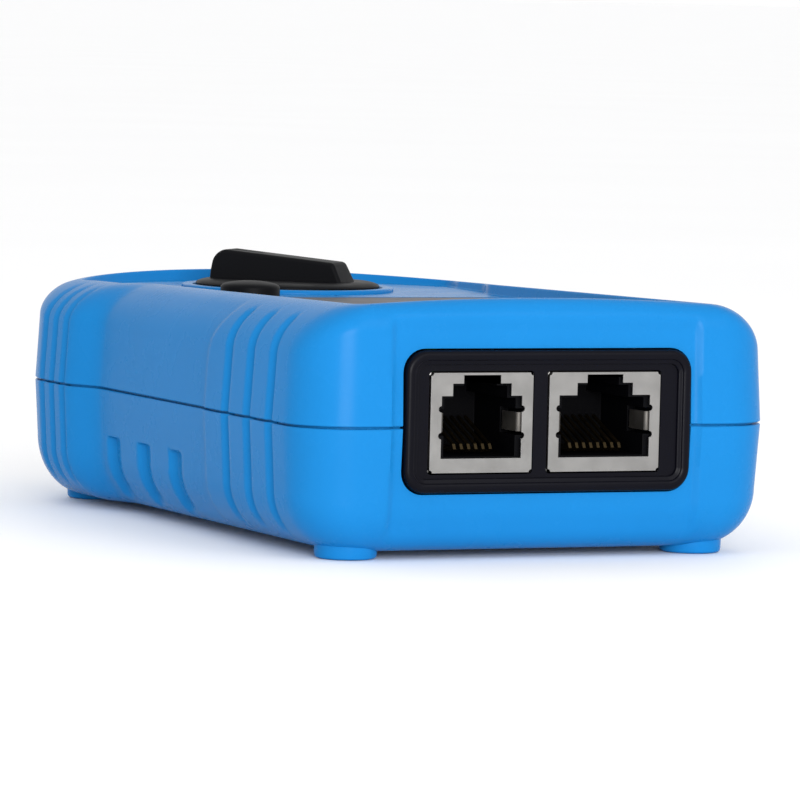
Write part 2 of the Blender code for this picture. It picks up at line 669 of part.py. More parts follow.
def make_boards(board_green, black, silver):
    block("jack_board", (-19.0, 19.0), (3.2, 22.0), JACK_BOARD, board_green)
    right = [(27.5, 17.5), (27.5, 90.0), (20.0, 90.0), (20.0, 98.0)]
    outline = [(x, along_y(depth)) for x, depth in right]
    outline += [(-x, y) for x, y in reversed(outline)]
    board = prism("main_board", outline, "Z", *MAIN_BOARD, board_green)
    combine(board, "DIFFERENCE", [rod(f"cut_board_{k}", place, 1.1 + GAP, (20.0, 30.0), segments=12)
                                  for k, place in enumerate(BOARD_SCREWS)])
    block("board_link_header", (-8.0, 8.0), (18.4, 20.9), (JACK_BOARD[1] + GAP, MAIN_BOARD[0] - GAP), black)
    block("controller_chip", (3.0, 13.0), (30.0, 40.0), (MAIN_BOARD[1] + GAP, 26.6), black)
    rod("capacitor", (21.5, 34.0), 2.5, (MAIN_BOARD[0] - GAP - 6.0, MAIN_BOARD[0] - GAP), silver, 20)


def make_battery(casing, black, red_wire, black_wire):
    half = BATTERY_SIZE[0] / 2
    top = BATTERY_BASE + BATTERY_SIZE[2]
    battery = block("battery", (-half, half), (BATTERY_DEPTH, BATTERY_DEPTH + BATTERY_SIZE[1]), (BATTERY_BASE, top),
                    casing)
    round_edges(battery, 1.2)
    middle = (BATTERY_BASE + top) / 2
    snap = block("battery_snap", (-12.0, 12.0), (40.0, 43.4), (middle - 5.5, middle + 5.5), black)
    round_edges(snap, 0.8)
    for name, x, wire in (("battery_lead_red", -5.0, red_wire), ("battery_lead_black", 5.0, black_wire)):
        make_lead(name, x, middle + 5.5 + GAP, wire)
    return battery


def make_lead(name, x, start_height, material):
    """Insulated lead from the snap's top up to the underside of the main board."""
    radius, points = 0.7, 13
    end_height = MAIN_BOARD[0] - GAP
    curve = bpy.data.curves.new(name, "CURVE")
    curve.dimensions = "3D"
    curve.bevel_depth = radius * MM
    curve.bevel_resolution = 2
    curve.use_fill_caps = True
    spline = curve.splines.new("POLY")
    spline.points.add(points - 1)
    for k in range(points):
        share = k / (points - 1)
        depth = 41.7 - 8.0 * ease(share, 0.1, 0.9)
        height = start_height + (end_height - start_height) * share
        spline.points[k].co = (x * MM, along_y(depth) * MM, height * MM, 1.0)
    curve.materials.append(material)
    lead = bpy.data.objects.new(name, curve)
    bpy.context.scene.collection.objects.link(lead)
    return lead


def make_screws(steel):
    for k, (x, depth) in enumerate(FEET):
        profile = [(0, 5.4), (2.3, 5.6), (2.6, 6.3), (2.6, SCREW_SHELF - GAP), (1.5, SCREW_SHELF - GAP),
                   (1.5, SCREW_TOP - 1.0), (0.4, SCREW_TOP)]
        turned(f"case_screw_{k + 1}", profile, (x, along_y(depth)), steel, 16)
    for k, (x, depth) in enumerate(BOARD_SCREWS):
        head = MAIN_BOARD[0] - GAP
        profile = [(1.9, head - 1.4), (2.2, head - 1.1), (2.2, head), (1.1, head), (1.1, 27.3), (0.3, 28.0)]
        turned(f"board_screw_{k + 1}", profile, (x, along_y(depth)), steel, 12)


def build():
    clear_scene()
    blue = make_material("case_blue", (0.02, 0.27, 0.76), 0.38)
    black = make_material("matt_black", (0.012, 0.012, 0.016), 0.55)
    bezel_black = make_material("bezel_black", (0.016, 0.014, 0.022), 0.4)
    nickel = make_material("nickel", (0.62, 0.60, 0.57), 0.32, 1.0)
    gold = make_material("contact_gold", (0.83, 0.62, 0.25), 0.3, 1.0)
    steel = make_material("screw_steel", (0.55, 0.55, 0.56), 0.35, 1.0)
    film = make_material("label_film", (0.16, 0.17, 0.22), 0.25)
    board_green = make_material("board_green", (0.02, 0.18, 0.06), 0.5)
    grey = make_material("rotor_grey", (0.35, 0.35, 0.36), 0.5)
    green = make_material("led_green", (0.12, 0.6, 0.15), 0.2)
    amber = make_material("led_amber", (0.8, 0.4, 0.05), 0.2)
    red = make_material("signal_red", (0.55, 0.03, 0.03), 0.45)
    casing = make_material("battery_wrap", (0.10, 0.11, 0.13), 0.4)

    make_top_shell(blue)
    make_bottom_shell(blue)
    make_battery_cover(blue)
    make_bezel(bezel_black)
    for key, jack in JACKS.items():
        make_shield(key, jack, nickel)
        make_housing(key, jack, black)
        make_contacts(key, jack, gold)
    make_knob(black)
    make_rotor(grey)
    make_wiper(gold)
    make_button(black)
    make_button_switch(black, red)
    make_label(film)
    make_leds(green, amber)
    make_boards(board_green, black, steel)
    make_battery(casing, black, red, black)
    make_screws(steel)


build()
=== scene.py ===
"""Looks of the network cable tester: moulded shells, sockets, selector, button, label and stage.

Shapes are modelled in millimetres and turned into metres when an object is made.  Places along the
length are depths from the front face; FRONT is that face's Y.
"""

from math import atan2, cos, pi, radians, sin

import bmesh
import bpy
from mathutils import Matrix, Vector


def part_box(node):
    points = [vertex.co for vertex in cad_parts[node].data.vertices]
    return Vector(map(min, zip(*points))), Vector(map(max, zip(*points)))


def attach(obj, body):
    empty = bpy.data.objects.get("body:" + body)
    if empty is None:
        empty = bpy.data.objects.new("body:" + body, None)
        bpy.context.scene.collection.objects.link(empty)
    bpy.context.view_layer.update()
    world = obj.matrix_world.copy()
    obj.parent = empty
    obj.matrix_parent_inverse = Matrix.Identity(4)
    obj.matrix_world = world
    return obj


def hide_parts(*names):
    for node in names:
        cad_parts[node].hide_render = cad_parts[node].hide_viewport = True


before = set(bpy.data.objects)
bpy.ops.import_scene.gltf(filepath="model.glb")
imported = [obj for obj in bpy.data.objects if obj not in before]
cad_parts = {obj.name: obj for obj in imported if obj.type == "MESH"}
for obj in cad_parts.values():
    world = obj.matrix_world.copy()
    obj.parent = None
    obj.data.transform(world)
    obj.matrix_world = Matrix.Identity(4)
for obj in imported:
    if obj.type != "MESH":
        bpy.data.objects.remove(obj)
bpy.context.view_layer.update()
MM = 0.001


def box_mm(node):
    """Lowest and highest corner of a CAD node in millimetres."""
    low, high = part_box(node)
    return low / MM, high / MM


def middle_of(node):
    low, high = box_mm(node)
    return (low + high) / 2


# ---- driving sizes, read from the frame ----------------------------------------------------------

CASE_LOW, CASE_HIGH = box_mm("bottom_shell")
FRONT = CASE_LOW.y
LENGTH = CASE_HIGH.y - CASE_LOW.y
REAR_HALF_WIDTH = CASE_HIGH.x
SEAM_LOW = CASE_HIGH.z
SEAM_HIGH = box_mm("top_shell")[0].z
COVER_LOW, COVER_HIGH = box_mm("battery_cover")
BEZEL_LOW, BEZEL_HIGH = box_mm("port_bezel")
LABEL_LOW, LABEL_HIGH = box_mm("faceplate_label")
KNOB_BOTTOM = box_mm("selector_knob")[0].z
BUTTON_BOTTOM = box_mm("test_button")[0].z
KNOB = middle_of("selector_knob")
BUTTON = middle_of("test_button")
SCREW_NAMES = [f"case_screw_{k}" for k in range(1, 5)]
SCREWS = [middle_of(name) for name in SCREW_NAMES]
LED_NAMES = [f"led_{k}" for k in range(1, 9)] + ["led_ground"]
LEDS = [middle_of(name) for name in LED_NAMES]

# ---- case form; triples are amounts at the sides, the front and the back -------------------------

HALF_WIDTH = 34.0
FRONT_CORNER = 8.0
RIM_CORNER = 2.4                       # front corner radius at the rim
REAR_CORNER = 16.0
REAR_DEPTH = 88.0                      # depth of the rear corners' centres
FLARE = (72.5, 80.5)                   # depths between which the sides widen
BOTTOM = COVER_LOW.z
PANEL = 30.3
CEILING = 27.9
FLOOR = 3.4
RIM_HEIGHT = 33.85
RIM_FALL = 0.0175                      # drop of the rim for each millimetre of depth
RIM_CROWN = 0.8                        # drop of the rim at CROWN_REACH from the middle
CROWN_REACH = 25.0
DRAFT = 0.5
WALL = (3.0, 2.4, 2.4)
TOP_INSET = (8.2, 3.2, 5.0)            # how far the edge rounding reaches in
TOP_START = (25.6, 29.4, 27.0)         # height where the edge rounding starts
BOTTOM_INSET = (8.2, 6.0, 7.5)
BOTTOM_START = (8.8, 7.6, 8.8)
REAR_FULLNESS = 0.2                    # the edge rounding is tighter at the rear corners
BOTTOM_REAR_LIFT, TOP_REAR_LIFT = 2.2, 0.9
SEAM_EDGE = 0.12                       # rounding of both seam edges
SEAM_GROOVE = 0.9                      # depth of the gap between the shells
TOP_LIP = (2.0, 1.6, 1.6)              # inner wall of the top shell's lip
TOP_LIP_RISE = 1.1
TONGUE_INNER, TONGUE_OUTER = (2.85, 2.3, 2.3), (2.2, 1.8, 1.8)
TONGUE_RISE = 0.8
SHELL_CLEARANCE = 0.02
WALL_STEPS = {"top": 16, "bottom": 24}
ROUND_STEPS = {"top": 20, "bottom": 18}
RIM_ROLL = ((0.12, 0.03), (0.24, 0.12), (0.32, 0.3))      # inset past the rim, drop below it
PANEL_FILLET = ((0.42, 0.25), (0.52, 0.1), (0.72, 0.0))   # inset past the rim, rise over the panel

# ---- surface relief; fades are (bottom start, bottom end, top start, top end) heights ------------

FRONT_FIELD = 21.9                     # half width of the sunk field between the front corners
FRONT_SINK = 0.6
FIELD_BLEND = 0.5
FRONT_FADE = (1.6, 5.0, 29.5, 32.2)
GRIP_GROOVES = (12.8, 20.1, 27.4)
GRIP_GROOVE = (1.35, 0.85)             # half width and depth
REAR_GROOVES = (80.9, 84.7, 88.5)
REAR_GROOVE = (1.1, 0.5)
GROOVE_FADE = (2.0, 6.0, 29.8, 31.6)
GROOVE_BOTTOM = -0.5                   # place of the deepest line, in half widths
PAD_EDGE = 34.8                        # where the sunk side panel starts
PAD_LEAN, PAD_LEAN_HEIGHTS = 3.0, (24.0, 32.0)
PAD_BLEND = (0.5, 0.9)
PAD_STEP = 0.55
PAD_FADE = (1.6, 4.0, 30.0, 32.3)
SCOOPS = (46.9, 58.2, 69.3)
SCOOP_START, SCOOP_DEEPEST, SCOOP_END = -3.4, 0.6, 2.0
SCOOP_DEPTH = 0.95
SCOOP_TOP, SCOOP_TOP_BLEND = 10.9, 0.35
SCOOP_FOOT = (1.4, 4.0)

# ---- mesh helpers --------------------------------------------------------------------------------

MERGE_DISTANCE = 1e-4
SHARP_ANGLE = 32
THINNEST = 1e-3                        # radius that stands for a point on the axis


def ease(value, start, end):
    """Smooth rise from 0 at start to 1 at end."""
    share = min(max((value - start) / (end - start), 0.0), 1.0)
    return share * share * (3 - 2 * share)


def put_in_scene(thing):
    bpy.context.scene.collection.objects.link(thing)
    return thing


def make_object(name, shape, material=None, smooth_angle=SHARP_ANGLE):
    bmesh.ops.remove_doubles(shape, verts=shape.verts, dist=MERGE_DISTANCE)
    bmesh.ops.recalc_face_normals(shape, faces=shape.faces)
    bmesh.ops.scale(shape, verts=shape.verts, vec=(MM, MM, MM))
    mesh = bpy.data.meshes.new(name)
    shape.to_mesh(mesh)
    shape.free()
    thing = put_in_scene(bpy.data.objects.new(name, mesh))
    if material:
        mesh.materials.append(material)
    return shade(thing, smooth_angle)


def shade(thing, smooth_angle=SHARP_ANGLE):
    thing.data.shade_smooth()
    thing.data.set_sharp_from_angle(angle=radians(smooth_angle))
    return thing


def bridge(shape, here, after):
    """Quads between two closed loops of vertices."""
    for k in range(len(here)):
        j = (k + 1) % len(here)
        shape.faces.new((here[k], here[j], after[j], after[k]))


def loft(name, rings, material=None, smooth_angle=SHARP_ANGLE):
    """Skin over closed rings of points, with a face on the first and the last ring."""
    shape = bmesh.new()
    loops = [[shape.verts.new(point) for point in ring] for ring in rings]
    shape.faces.new(loops[0])
    shape.faces.new(loops[-1])
    for lower, upper in zip(loops, loops[1:]):
        bridge(shape, lower, upper)
    return make_object(name, shape, material, smooth_angle)


def turned(name, profile, centre, material=None, segments=48):
    """Turn (radius, height) points about a vertical axis; a zero radius closes the end."""
    rings = []
    for radius, height in profile:
        reach = max(radius, THINNEST)
        rings.append([(centre[0] + reach * cos(2 * pi * k / segments),
                       centre[1] + reach * sin(2 * pi * k / segments), height)
                      for k in range(segments)])
    return loft(name, rings, material)


def washer(name, profile, centre, material=None, segments=64):
    """Turn a closed profile that stays clear of the axis."""
    shape = bmesh.new()
    rings = []
    for k in range(segments):
        angle = 2 * pi * k / segments
        rings.append([shape.verts.new((centre[0] + r * cos(angle), centre[1] + r * sin(angle), z))
                      for r, z in profile])
    for k in range(segments):
        bridge(shape, rings[k], rings[(k + 1) % segments])
    return make_object(name, shape, material)


def prism(name, outline, axis, start, end, material=None):
    """Extrude an outline: (x, y) along Z or (x, z) along Y."""
    if axis == "Y":
        rings = [[(x, t, z) for x, z in outline] for t in (start, end)]
    else:
        rings = [[(x, y, t) for x, y in outline] for t in (start, end)]
    return loft(name, rings, material)


def block(name, low, high, material=None):
    outline = [(low[0], low[2]), (high[0], low[2]), (high[0], high[2]), (low[0], high[2])]
    return prism(name, outline, "Y", low[1], high[1], material)


def rod(name, centre, radius, low, high, segments=40):
    """Vertical round bar about a centre."""
    return turned(name, [(radius, low), (radius, high)], centre, None, segments)


def barrel(name, x, z, radius, start, end, segments=20):
    """Round bar along Y."""
    outline = [(x + radius * cos(2 * pi * k / segments), z + radius * sin(2 * pi * k / segments))
               for k in range(segments)]
    return prism(name, outline, "Y", start, end)


def rounded_rectangle(x_range, y_range, radius, steps=8):
    points = []
    corners = ((x_range[1], y_range[0], -90), (x_range[1], y_range[1], 0),
               (x_range[0], y_range[1], 90), (x_range[0], y_range[0], 180))
    for x, y, first in corners:
        cx = x - radius if x == x_range[1] else x + radius
        cy = y - radius if y == y_range[1] else y + radius
        for k in range(steps + 1):
            angle = radians(first + 90 * k / steps)
            points.append((cx + radius * cos(angle), cy + radius * sin(angle)))
    return points


def outset(low, high, margin):
    return low - margin, high + margin


def apply_modifiers(thing):
    graph = bpy.context.evaluated_depsgraph_get()
    mesh = bpy.data.meshes.new_from_object(thing.evaluated_get(graph))
    thing.modifiers.clear()
    thing.data = mesh
    return thing


def combine(target, operation, tools, smooth_angle=SHARP_ANGLE):
    """Add or cut the tools with one exact Boolean, apply it and remove the tools."""
    group = bpy.data.collections.new("tools")
    for tool in tools:
        group.objects.link(tool)
    modifier = target.modifiers.new("tools", "BOOLEAN")
    modifier.operation = operation
    modifier.operand_type = "COLLECTION"
    modifier.collection = group
    modifier.solver = "EXACT"
    shade(apply_modifiers(target), smooth_angle)
    for tool in tools:
        bpy.data.objects.remove(tool, do_unlink=True)
    bpy.data.collections.remove(group)
    return target


def round_edges(thing, width, segments=2, angle=35):
    modifier = thing.modifiers.new("edges", "BEVEL")
    modifier.width = width * MM
    modifier.segments = segments
    modifier.limit_method = "ANGLE"
    modifier.angle_limit = radians(angle)
    modifier.harden_normals = False
    return shade(apply_modifiers(thing))


def weigh_normals(thing):
    """Keep broad faces flat to the eye beside their rounded edges."""
    modifier = thing.modifiers.new("normals", "WEIGHTED_NORMAL")
    modifier.keep_sharp = True
    return apply_modifiers(thing)


def stand_for(thing, body, slot, *nodes):
    """Ride on a body and replace CAD nodes; the slot argument is not used."""
    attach(thing, body)
    if nodes:
        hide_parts(*nodes)


# ---- materials -----------------------------------------------------------------------------------

NOISE_LOW, NOISE_HIGH = 0.3, 0.7       # the part of a noise's range that carries most of it
GRAIN = (0.12, 0.00003, 2600.0)        # strength, height in metres and scale of a moulded grain
FINE_GRAIN = (0.03, 0.00003, 2600.0)
KNOB_GRAIN = (0.35, 0.00004, 3200.0)
FILM_GRAIN = (0.05, 0.00002, 1800.0)
BRUSH = (1.0, 1.0, 14.0)               # stretch of the rolling marks on metal
INPUT_NAMES = {"coat": "Coat Weight", "coat_roughness": "Coat Roughness",
               "specular": "Specular IOR Level", "metallic": "Metallic", "ior": "IOR",
               "transmission": "Transmission Weight"}


class Nodes:
    """Small helper that adds and wires shader nodes."""

    def __init__(self, name):
        self.material = bpy.data.materials.new(name)
        self.material.use_nodes = True
        self.tree = self.material.node_tree
        self.shader = self.tree.nodes["Principled BSDF"]
        self.place = self.add("ShaderNodeTexCoord").outputs["Object"]

    def add(self, kind, **values):
        """New node; a value's key is its input's name in lower case, with underscores."""
        node = self.tree.nodes.new(kind)
        for key, value in values.items():
            node.inputs[key.replace("_", " ").title()].default_value = value
        return node

    def link(self, source, target):
        self.tree.links.new(source, target)

    def feed(self, source, name):
        self.link(source, self.shader.inputs[name])

    def noise(self, scale, detail=3.0, roughness=0.55, place=None):
        node = self.add("ShaderNodeTexNoise", scale=scale, detail=detail, roughness=roughness)
        self.link(place or self.place, node.inputs["Vector"])
        return node.outputs["Fac"]

    def blend(self, source, low_colour, high_colour):
        """Colour ramp over a noise."""
        node = self.add("ShaderNodeValToRGB")
        stops = ((NOISE_LOW, low_colour), (NOISE_HIGH, high_colour))
        for element, (position, colour) in zip(node.color_ramp.elements, stops):
            element.position = position
            element.color = (*colour, 1.0)
        self.link(source, node.inputs["Fac"])
        return node.outputs["Color"]

    def spread(self, source, low, high):
        """Map a noise to a range of values."""
        node = self.add("ShaderNodeMapRange", from_min=NOISE_LOW, from_max=NOISE_HIGH,
                        to_min=low, to_max=high)
        self.link(source, node.inputs["Value"])
        return node.outputs["Result"]

    def bump(self, height, strength, distance, below=None):
        node = self.add("ShaderNodeBump", strength=strength, distance=distance)
        self.link(height, node.inputs["Height"])
        if below:
            self.link(below, node.inputs["Normal"])
        return node.outputs["Normal"]

    def set(self, **values):
        for key, value in values.items():
            self.shader.inputs[INPUT_NAMES[key]].default_value = value


def tint(colour, factor):
    return tuple(min(channel * factor, 1.0) for channel in colour)


def plastic(name, colour, roughness, grain=GRAIN, vary=0.05, coat=0.0, specular=0.5):
    """Moulded plastic: faint flow marks in the colour, uneven gloss and a fine grain."""
    nodes = Nodes(name)
    flow = nodes.noise(scale=38.0, detail=4.0)
    nodes.feed(nodes.blend(flow, tint(colour, 1 - vary), tint(colour, 1 + vary)), "Base Color")
    nodes.feed(nodes.spread(nodes.noise(scale=160.0, detail=5.0), *roughness), "Roughness")
    strength, distance, scale = grain
    waves = nodes.bump(nodes.noise(scale=55.0, detail=1.0), strength=0.03, distance=0.0002)
    nodes.feed(nodes.bump(nodes.noise(scale, detail=2.0), strength, distance, waves), "Normal")
    nodes.set(coat=coat, specular=specular)
    if coat:
        nodes.set(coat_roughness=0.18)
    return nodes.material


def metal(name, colour, roughness):
    """Plated or plain metal with fine rolling marks along one direction and cloudy gloss."""
    nodes = Nodes(name)
    mapping = nodes.add("ShaderNodeMapping", scale=BRUSH)
    nodes.link(nodes.place, mapping.inputs["Vector"])
    streaks = nodes.noise(scale=900.0, roughness=0.5, place=mapping.outputs["Vector"])
    cloudy = nodes.noise(scale=300.0, detail=4.0)
    nodes.feed(nodes.blend(cloudy, tint(colour, 0.93), tint(colour, 1.04)), "Base Color")
    nodes.feed(nodes.spread(cloudy, *roughness), "Roughness")
    nodes.feed(nodes.bump(streaks, strength=0.1, distance=0.00002), "Normal")
    nodes.set(metallic=1.0)
    return nodes.material


def lens(name, colour):
    """Tinted epoxy lens with slight clouding."""
    nodes = Nodes(name)
    cloudy = nodes.noise(scale=500.0)
    nodes.feed(nodes.blend(cloudy, tint(colour, 0.85), tint(colour, 1.05)), "Base Color")
    nodes.feed(nodes.spread(nodes.noise(scale=900.0), low=0.08, high=0.16), "Roughness")
    nodes.set(transmission=0.35, ior=1.5, coat=0.4)
    return nodes.material


def make_materials():
    """Each finish's name, colour and range of roughness, with what sets it apart."""
    return {
        "case": plastic("case_blue", (0.008, 0.163, 0.43), (0.25, 0.29), FINE_GRAIN, vary=0.03,
                        specular=0.045),
        "knob": plastic("knob_black", (0.0028, 0.003, 0.004), (0.42, 0.55), KNOB_GRAIN, vary=0.12,
                        specular=0.07),
        "bezel": plastic("bezel_black", (0.0024, 0.0024, 0.0048), (0.26, 0.36), vary=0.1,
                         specular=0.07),
        "socket": plastic("socket_black", (0.0012, 0.0012, 0.0018), (0.45, 0.6), vary=0.1,
                          specular=0.05),
        "nickel": metal("shield_nickel", (0.255, 0.25, 0.243), (0.34, 0.46)),
        # the shield's nickel darkened: painted shade for the spring fingers inside the sockets
        "spring": metal("shield_nickel_painted_shade", (0.12, 0.112, 0.104), (0.5, 0.6)),
        # gold darkened nearly to black: painted shade for contacts deep inside the sockets
        "gold": metal("contact_gold", (0.05, 0.036, 0.018), (0.35, 0.48)),
        "steel": metal("screw_steel", (0.52, 0.52, 0.53), (0.28, 0.42)),
        "film": plastic("label_film", (0.05, 0.046, 0.055), (0.4, 0.46), FILM_GRAIN, vary=0.0,
                        specular=0.12),
        "print": plastic("label_print", (0.80, 0.81, 0.82), (0.35, 0.45), vary=0.03),
        "cell": plastic("battery_wrap", (0.055, 0.06, 0.075), (0.25, 0.35), vary=0.08, coat=0.3),
        "laminate": plastic("board_laminate", (0.015, 0.13, 0.05), (0.3, 0.42), vary=0.14,
                            coat=0.2),
        "grey": plastic("rotor_grey", (0.3, 0.3, 0.31), (0.4, 0.5)),
        "red": plastic("signal_red", (0.5, 0.02, 0.02), (0.35, 0.45)),
        "green_light": lens("led_green", (0.10, 0.62, 0.16)),
        "amber_light": lens("led_amber", (0.85, 0.42, 0.05)),
    }


# ---- case shells ---------------------------------------------------------------------------------

BACK = LENGTH - REAR_DEPTH
REAR_CENTRE_X = REAR_HALF_WIDTH - REAR_CORNER
BOW = (REAR_CENTRE_X ** 2 + BACK ** 2 - REAR_CORNER ** 2) / (2 * (BACK - REAR_CORNER))
REAR_TURN = atan2(BOW - BACK, REAR_CENTRE_X)             # where the rear corner meets the bow

FRONT_STEPS, CORNER_STEPS, REAR_STEPS = 56, 18, 20
SIDE_MARGINS = (1.6, 0.2)              # gaps between the side stations and the corners
SIDE_STEP, GROOVE_STEP, GROOVE_REACH = 0.48, 0.2, 1.7


def stations():
    """Right half of the outline as (kind, value) pairs from the front middle to the back middle."""
    places = [("front", k / FRONT_STEPS) for k in range(FRONT_STEPS + 1)]
    places += [("corner", radians(-90 + 90 * k / CORNER_STEPS)) for k in range(1, CORNER_STEPS + 1)]
    depth = FRONT_CORNER + SIDE_MARGINS[0]
    while depth < REAR_DEPTH - SIDE_MARGINS[1]:
        places.append(("side", depth))
        nearest = min(abs(depth - centre) for centre in GRIP_GROOVES + REAR_GROOVES)
        depth += GROOVE_STEP if nearest < GROOVE_REACH else SIDE_STEP
    places += [("rear", REAR_TURN * k / REAR_STEPS) for k in range(REAR_STEPS + 1)]
    places += [("bow", REAR_TURN + (pi / 2 - REAR_TURN) * k / REAR_STEPS)
               for k in range(1, REAR_STEPS + 1)]
    return places


STATIONS = stations()


def mix(amounts, nx, ny):
    """Blend side, front and back amounts by the outward direction."""
    side, front, back = amounts
    return side * nx * nx + (front if ny < 0 else back) * ny * ny


def rear_corner(nx, ny):
    """1 in the direction of a rear corner, 0 at the sides, the front and the back."""
    return 4 * nx * nx * ny * ny if ny > 0 else 0.0


def station_point(kind, value, insets):
    """Place and outward direction of one outline station for a ring with the given insets."""
    side, front, back = insets
    share = min(side / TOP_INSET[0], 1.0)
    corner = FRONT_CORNER + (RIM_CORNER - FRONT_CORNER) * share
    wide = HALF_WIDTH - side
    if kind == "front":
        return value * (wide - corner), front, 0.0, -1.0
    if kind == "side":
        flare = (REAR_HALF_WIDTH - HALF_WIDTH) * ease(value, *FLARE)
        return wide + flare, value, 1.0, 0.0
    nx, ny = cos(value), sin(value)
    if kind == "corner":
        return wide - corner + corner * nx, front + corner + corner * ny, nx, ny
    inset = mix(insets, nx, ny) * (1 - REAR_FULLNESS * rear_corner(nx, ny))
    if kind == "rear":
        reach = REAR_CORNER - inset
        return REAR_CENTRE_X + reach * nx, REAR_DEPTH + reach * ny, nx, ny
    return (BOW - inset) * nx, LENGTH - BOW + (BOW - inset) * ny, nx, ny


def groove(distance, half_width, depth):
    """Hollow with a crisp front edge and a long slope that faces the front."""
    deepest = GROOVE_BOTTOM * half_width
    if distance < deepest:
        return depth * ease(distance, -half_width, deepest)
    return depth * (1 - ease(distance, deepest, half_width))


def scoop(distance):
    """Sawtooth hollow: a long slope that ends in a short steep flank."""
    if SCOOP_START < distance <= SCOOP_DEEPEST:
        return ease(distance, SCOOP_START, SCOOP_DEEPEST) * SCOOP_DEPTH
    if SCOOP_DEEPEST < distance < SCOOP_END:
        return (1 - ease(distance, SCOOP_DEEPEST, SCOOP_END)) * SCOOP_DEPTH
    return 0.0


def fade(height, low_start, low_end, high_start, high_end):
    """1 on the wall, 0 towards the bottom and the top."""
    return ease(height, low_start, low_end) * (1 - ease(height, high_start, high_end))


def relief(kind, x, depth, height):
    """How far the surface is sunk: front field, side panel, grooves and scoops."""
    if kind == "corner" or kind == "bow":
        return 0.0
    if kind == "front":
        field = 1 - ease(abs(x), FRONT_FIELD - FIELD_BLEND, FRONT_FIELD + FIELD_BLEND)
        return FRONT_SINK * field * fade(height, *FRONT_FADE)
    edge = PAD_EDGE - PAD_LEAN * ease(height, *PAD_LEAN_HEIGHTS)
    sunk = (PAD_STEP * ease(depth, edge - PAD_BLEND[0], edge + PAD_BLEND[1])
            * (1 - ease(depth, *FLARE)) * fade(height, *PAD_FADE))
    for centres, form in ((GRIP_GROOVES, GRIP_GROOVE), (REAR_GROOVES, REAR_GROOVE)):
        for centre in centres:
            sunk += groove(depth - centre, *form) * fade(height, *GROOVE_FADE)
    scoop_fade = ((1 - ease(height, SCOOP_TOP - SCOOP_TOP_BLEND, SCOOP_TOP))
                  * ease(height, *SCOOP_FOOT))
    if scoop_fade > 0:
        sunk += sum(scoop(depth - centre) for centre in SCOOPS) * scoop_fade
    return sunk


def rim_height(x, depth):
    return RIM_HEIGHT - RIM_FALL * depth - RIM_CROWN * (x / CROWN_REACH) ** 2


def case_ring(insets, height, carved=True):
    """Closed ring of points; height(nx, ny, x, depth) may vary round the ring."""
    right = []
    for kind, value in STATIONS:
        x, depth, nx, ny = station_point(kind, value, insets)
        z = height(nx, ny, x, depth) if callable(height) else height
        sunk = relief(kind, x, depth, z) if carved else 0.0
        right.append((x - nx * sunk, FRONT + depth - ny * sunk, z))
    left = [(-x, y, z) for x, y, z in reversed(right[1:-1])]
    return right + left


def lining(*steps):
    """Plain rings from (insets, height) pairs."""
    return [case_ring(insets, height, False) for insets, height in steps]


def wall_rings(seam, start_amounts, lift, count):
    """Drafted wall rings from a seam height to where the edge rounding starts."""
    rings = []
    for k in range(count + 1):
        share = k / count

        def height(nx, ny, x, depth, share=share):
            start = mix(start_amounts, nx, ny) + lift * rear_corner(nx, ny)
            return seam + (start - seam) * share

        rings.append(case_ring((DRAFT * share,) * 3, height))
    return rings


def round_rings(insets, start_amounts, lift, crest, count):
    """Quarter-round rings from the wall up, or down, to the crest height."""
    rings = []
    for k in range(1, count + 1):
        angle = pi / 2 * k / count

        def height(nx, ny, x, depth, angle=angle):
            start = mix(start_amounts, nx, ny) + lift * rear_corner(nx, ny)
            return start + (crest(x, depth) - start) * sin(angle)

        reach = tuple(DRAFT + (inset - DRAFT) * (1 - cos(angle)) for inset in insets)
        rings.append(case_ring(reach, height))
    return rings


def rim_rings():
    """Rings that roll over the inner edge of the rim."""
    rings = []
    for extra, drop in RIM_ROLL:
        def height(nx, ny, x, depth, drop=drop):
            return rim_height(x, depth) - drop

        rings.append(case_ring(offset(TOP_INSET, extra), height, False))
    return rings


def offset(amounts, extra):
    return tuple(amount + extra for amount in amounts)


ABOVE_ALL, BELOW_ALL = 40.0, -2.0      # heights that are clear of the whole part
UNDER_PANEL, OVER_PANEL = 26.0, 31.0
COLLAR = ((13.5, -1.0), (15.1, -1.0), (15.1, 0.25), (15.0, 0.45), (14.8, 0.55), (13.8, 0.55),
          (13.58, 0.48), (13.5, 0.35))  # radius and rise over the panel
COLLAR_SEGMENTS = 96
HUB_HOLE, HUB_HOLE_BOTTOM = 4.5, 20.0
BUTTON_HOLE = 4.45
LAMP_HOLE, LAMP_SEGMENTS = 1.8, 24
POCKET_GAP, POCKET_DEPTH = 0.25, 0.3
TICK_REACH = (15.9, 17.9)              # distances from the selector's axis
TICK_HALF_WIDTH, TICK_DEPTH = 0.3, 0.3
TICK_ANGLES = [radians(90 + 45 * k) for k in range(5)]


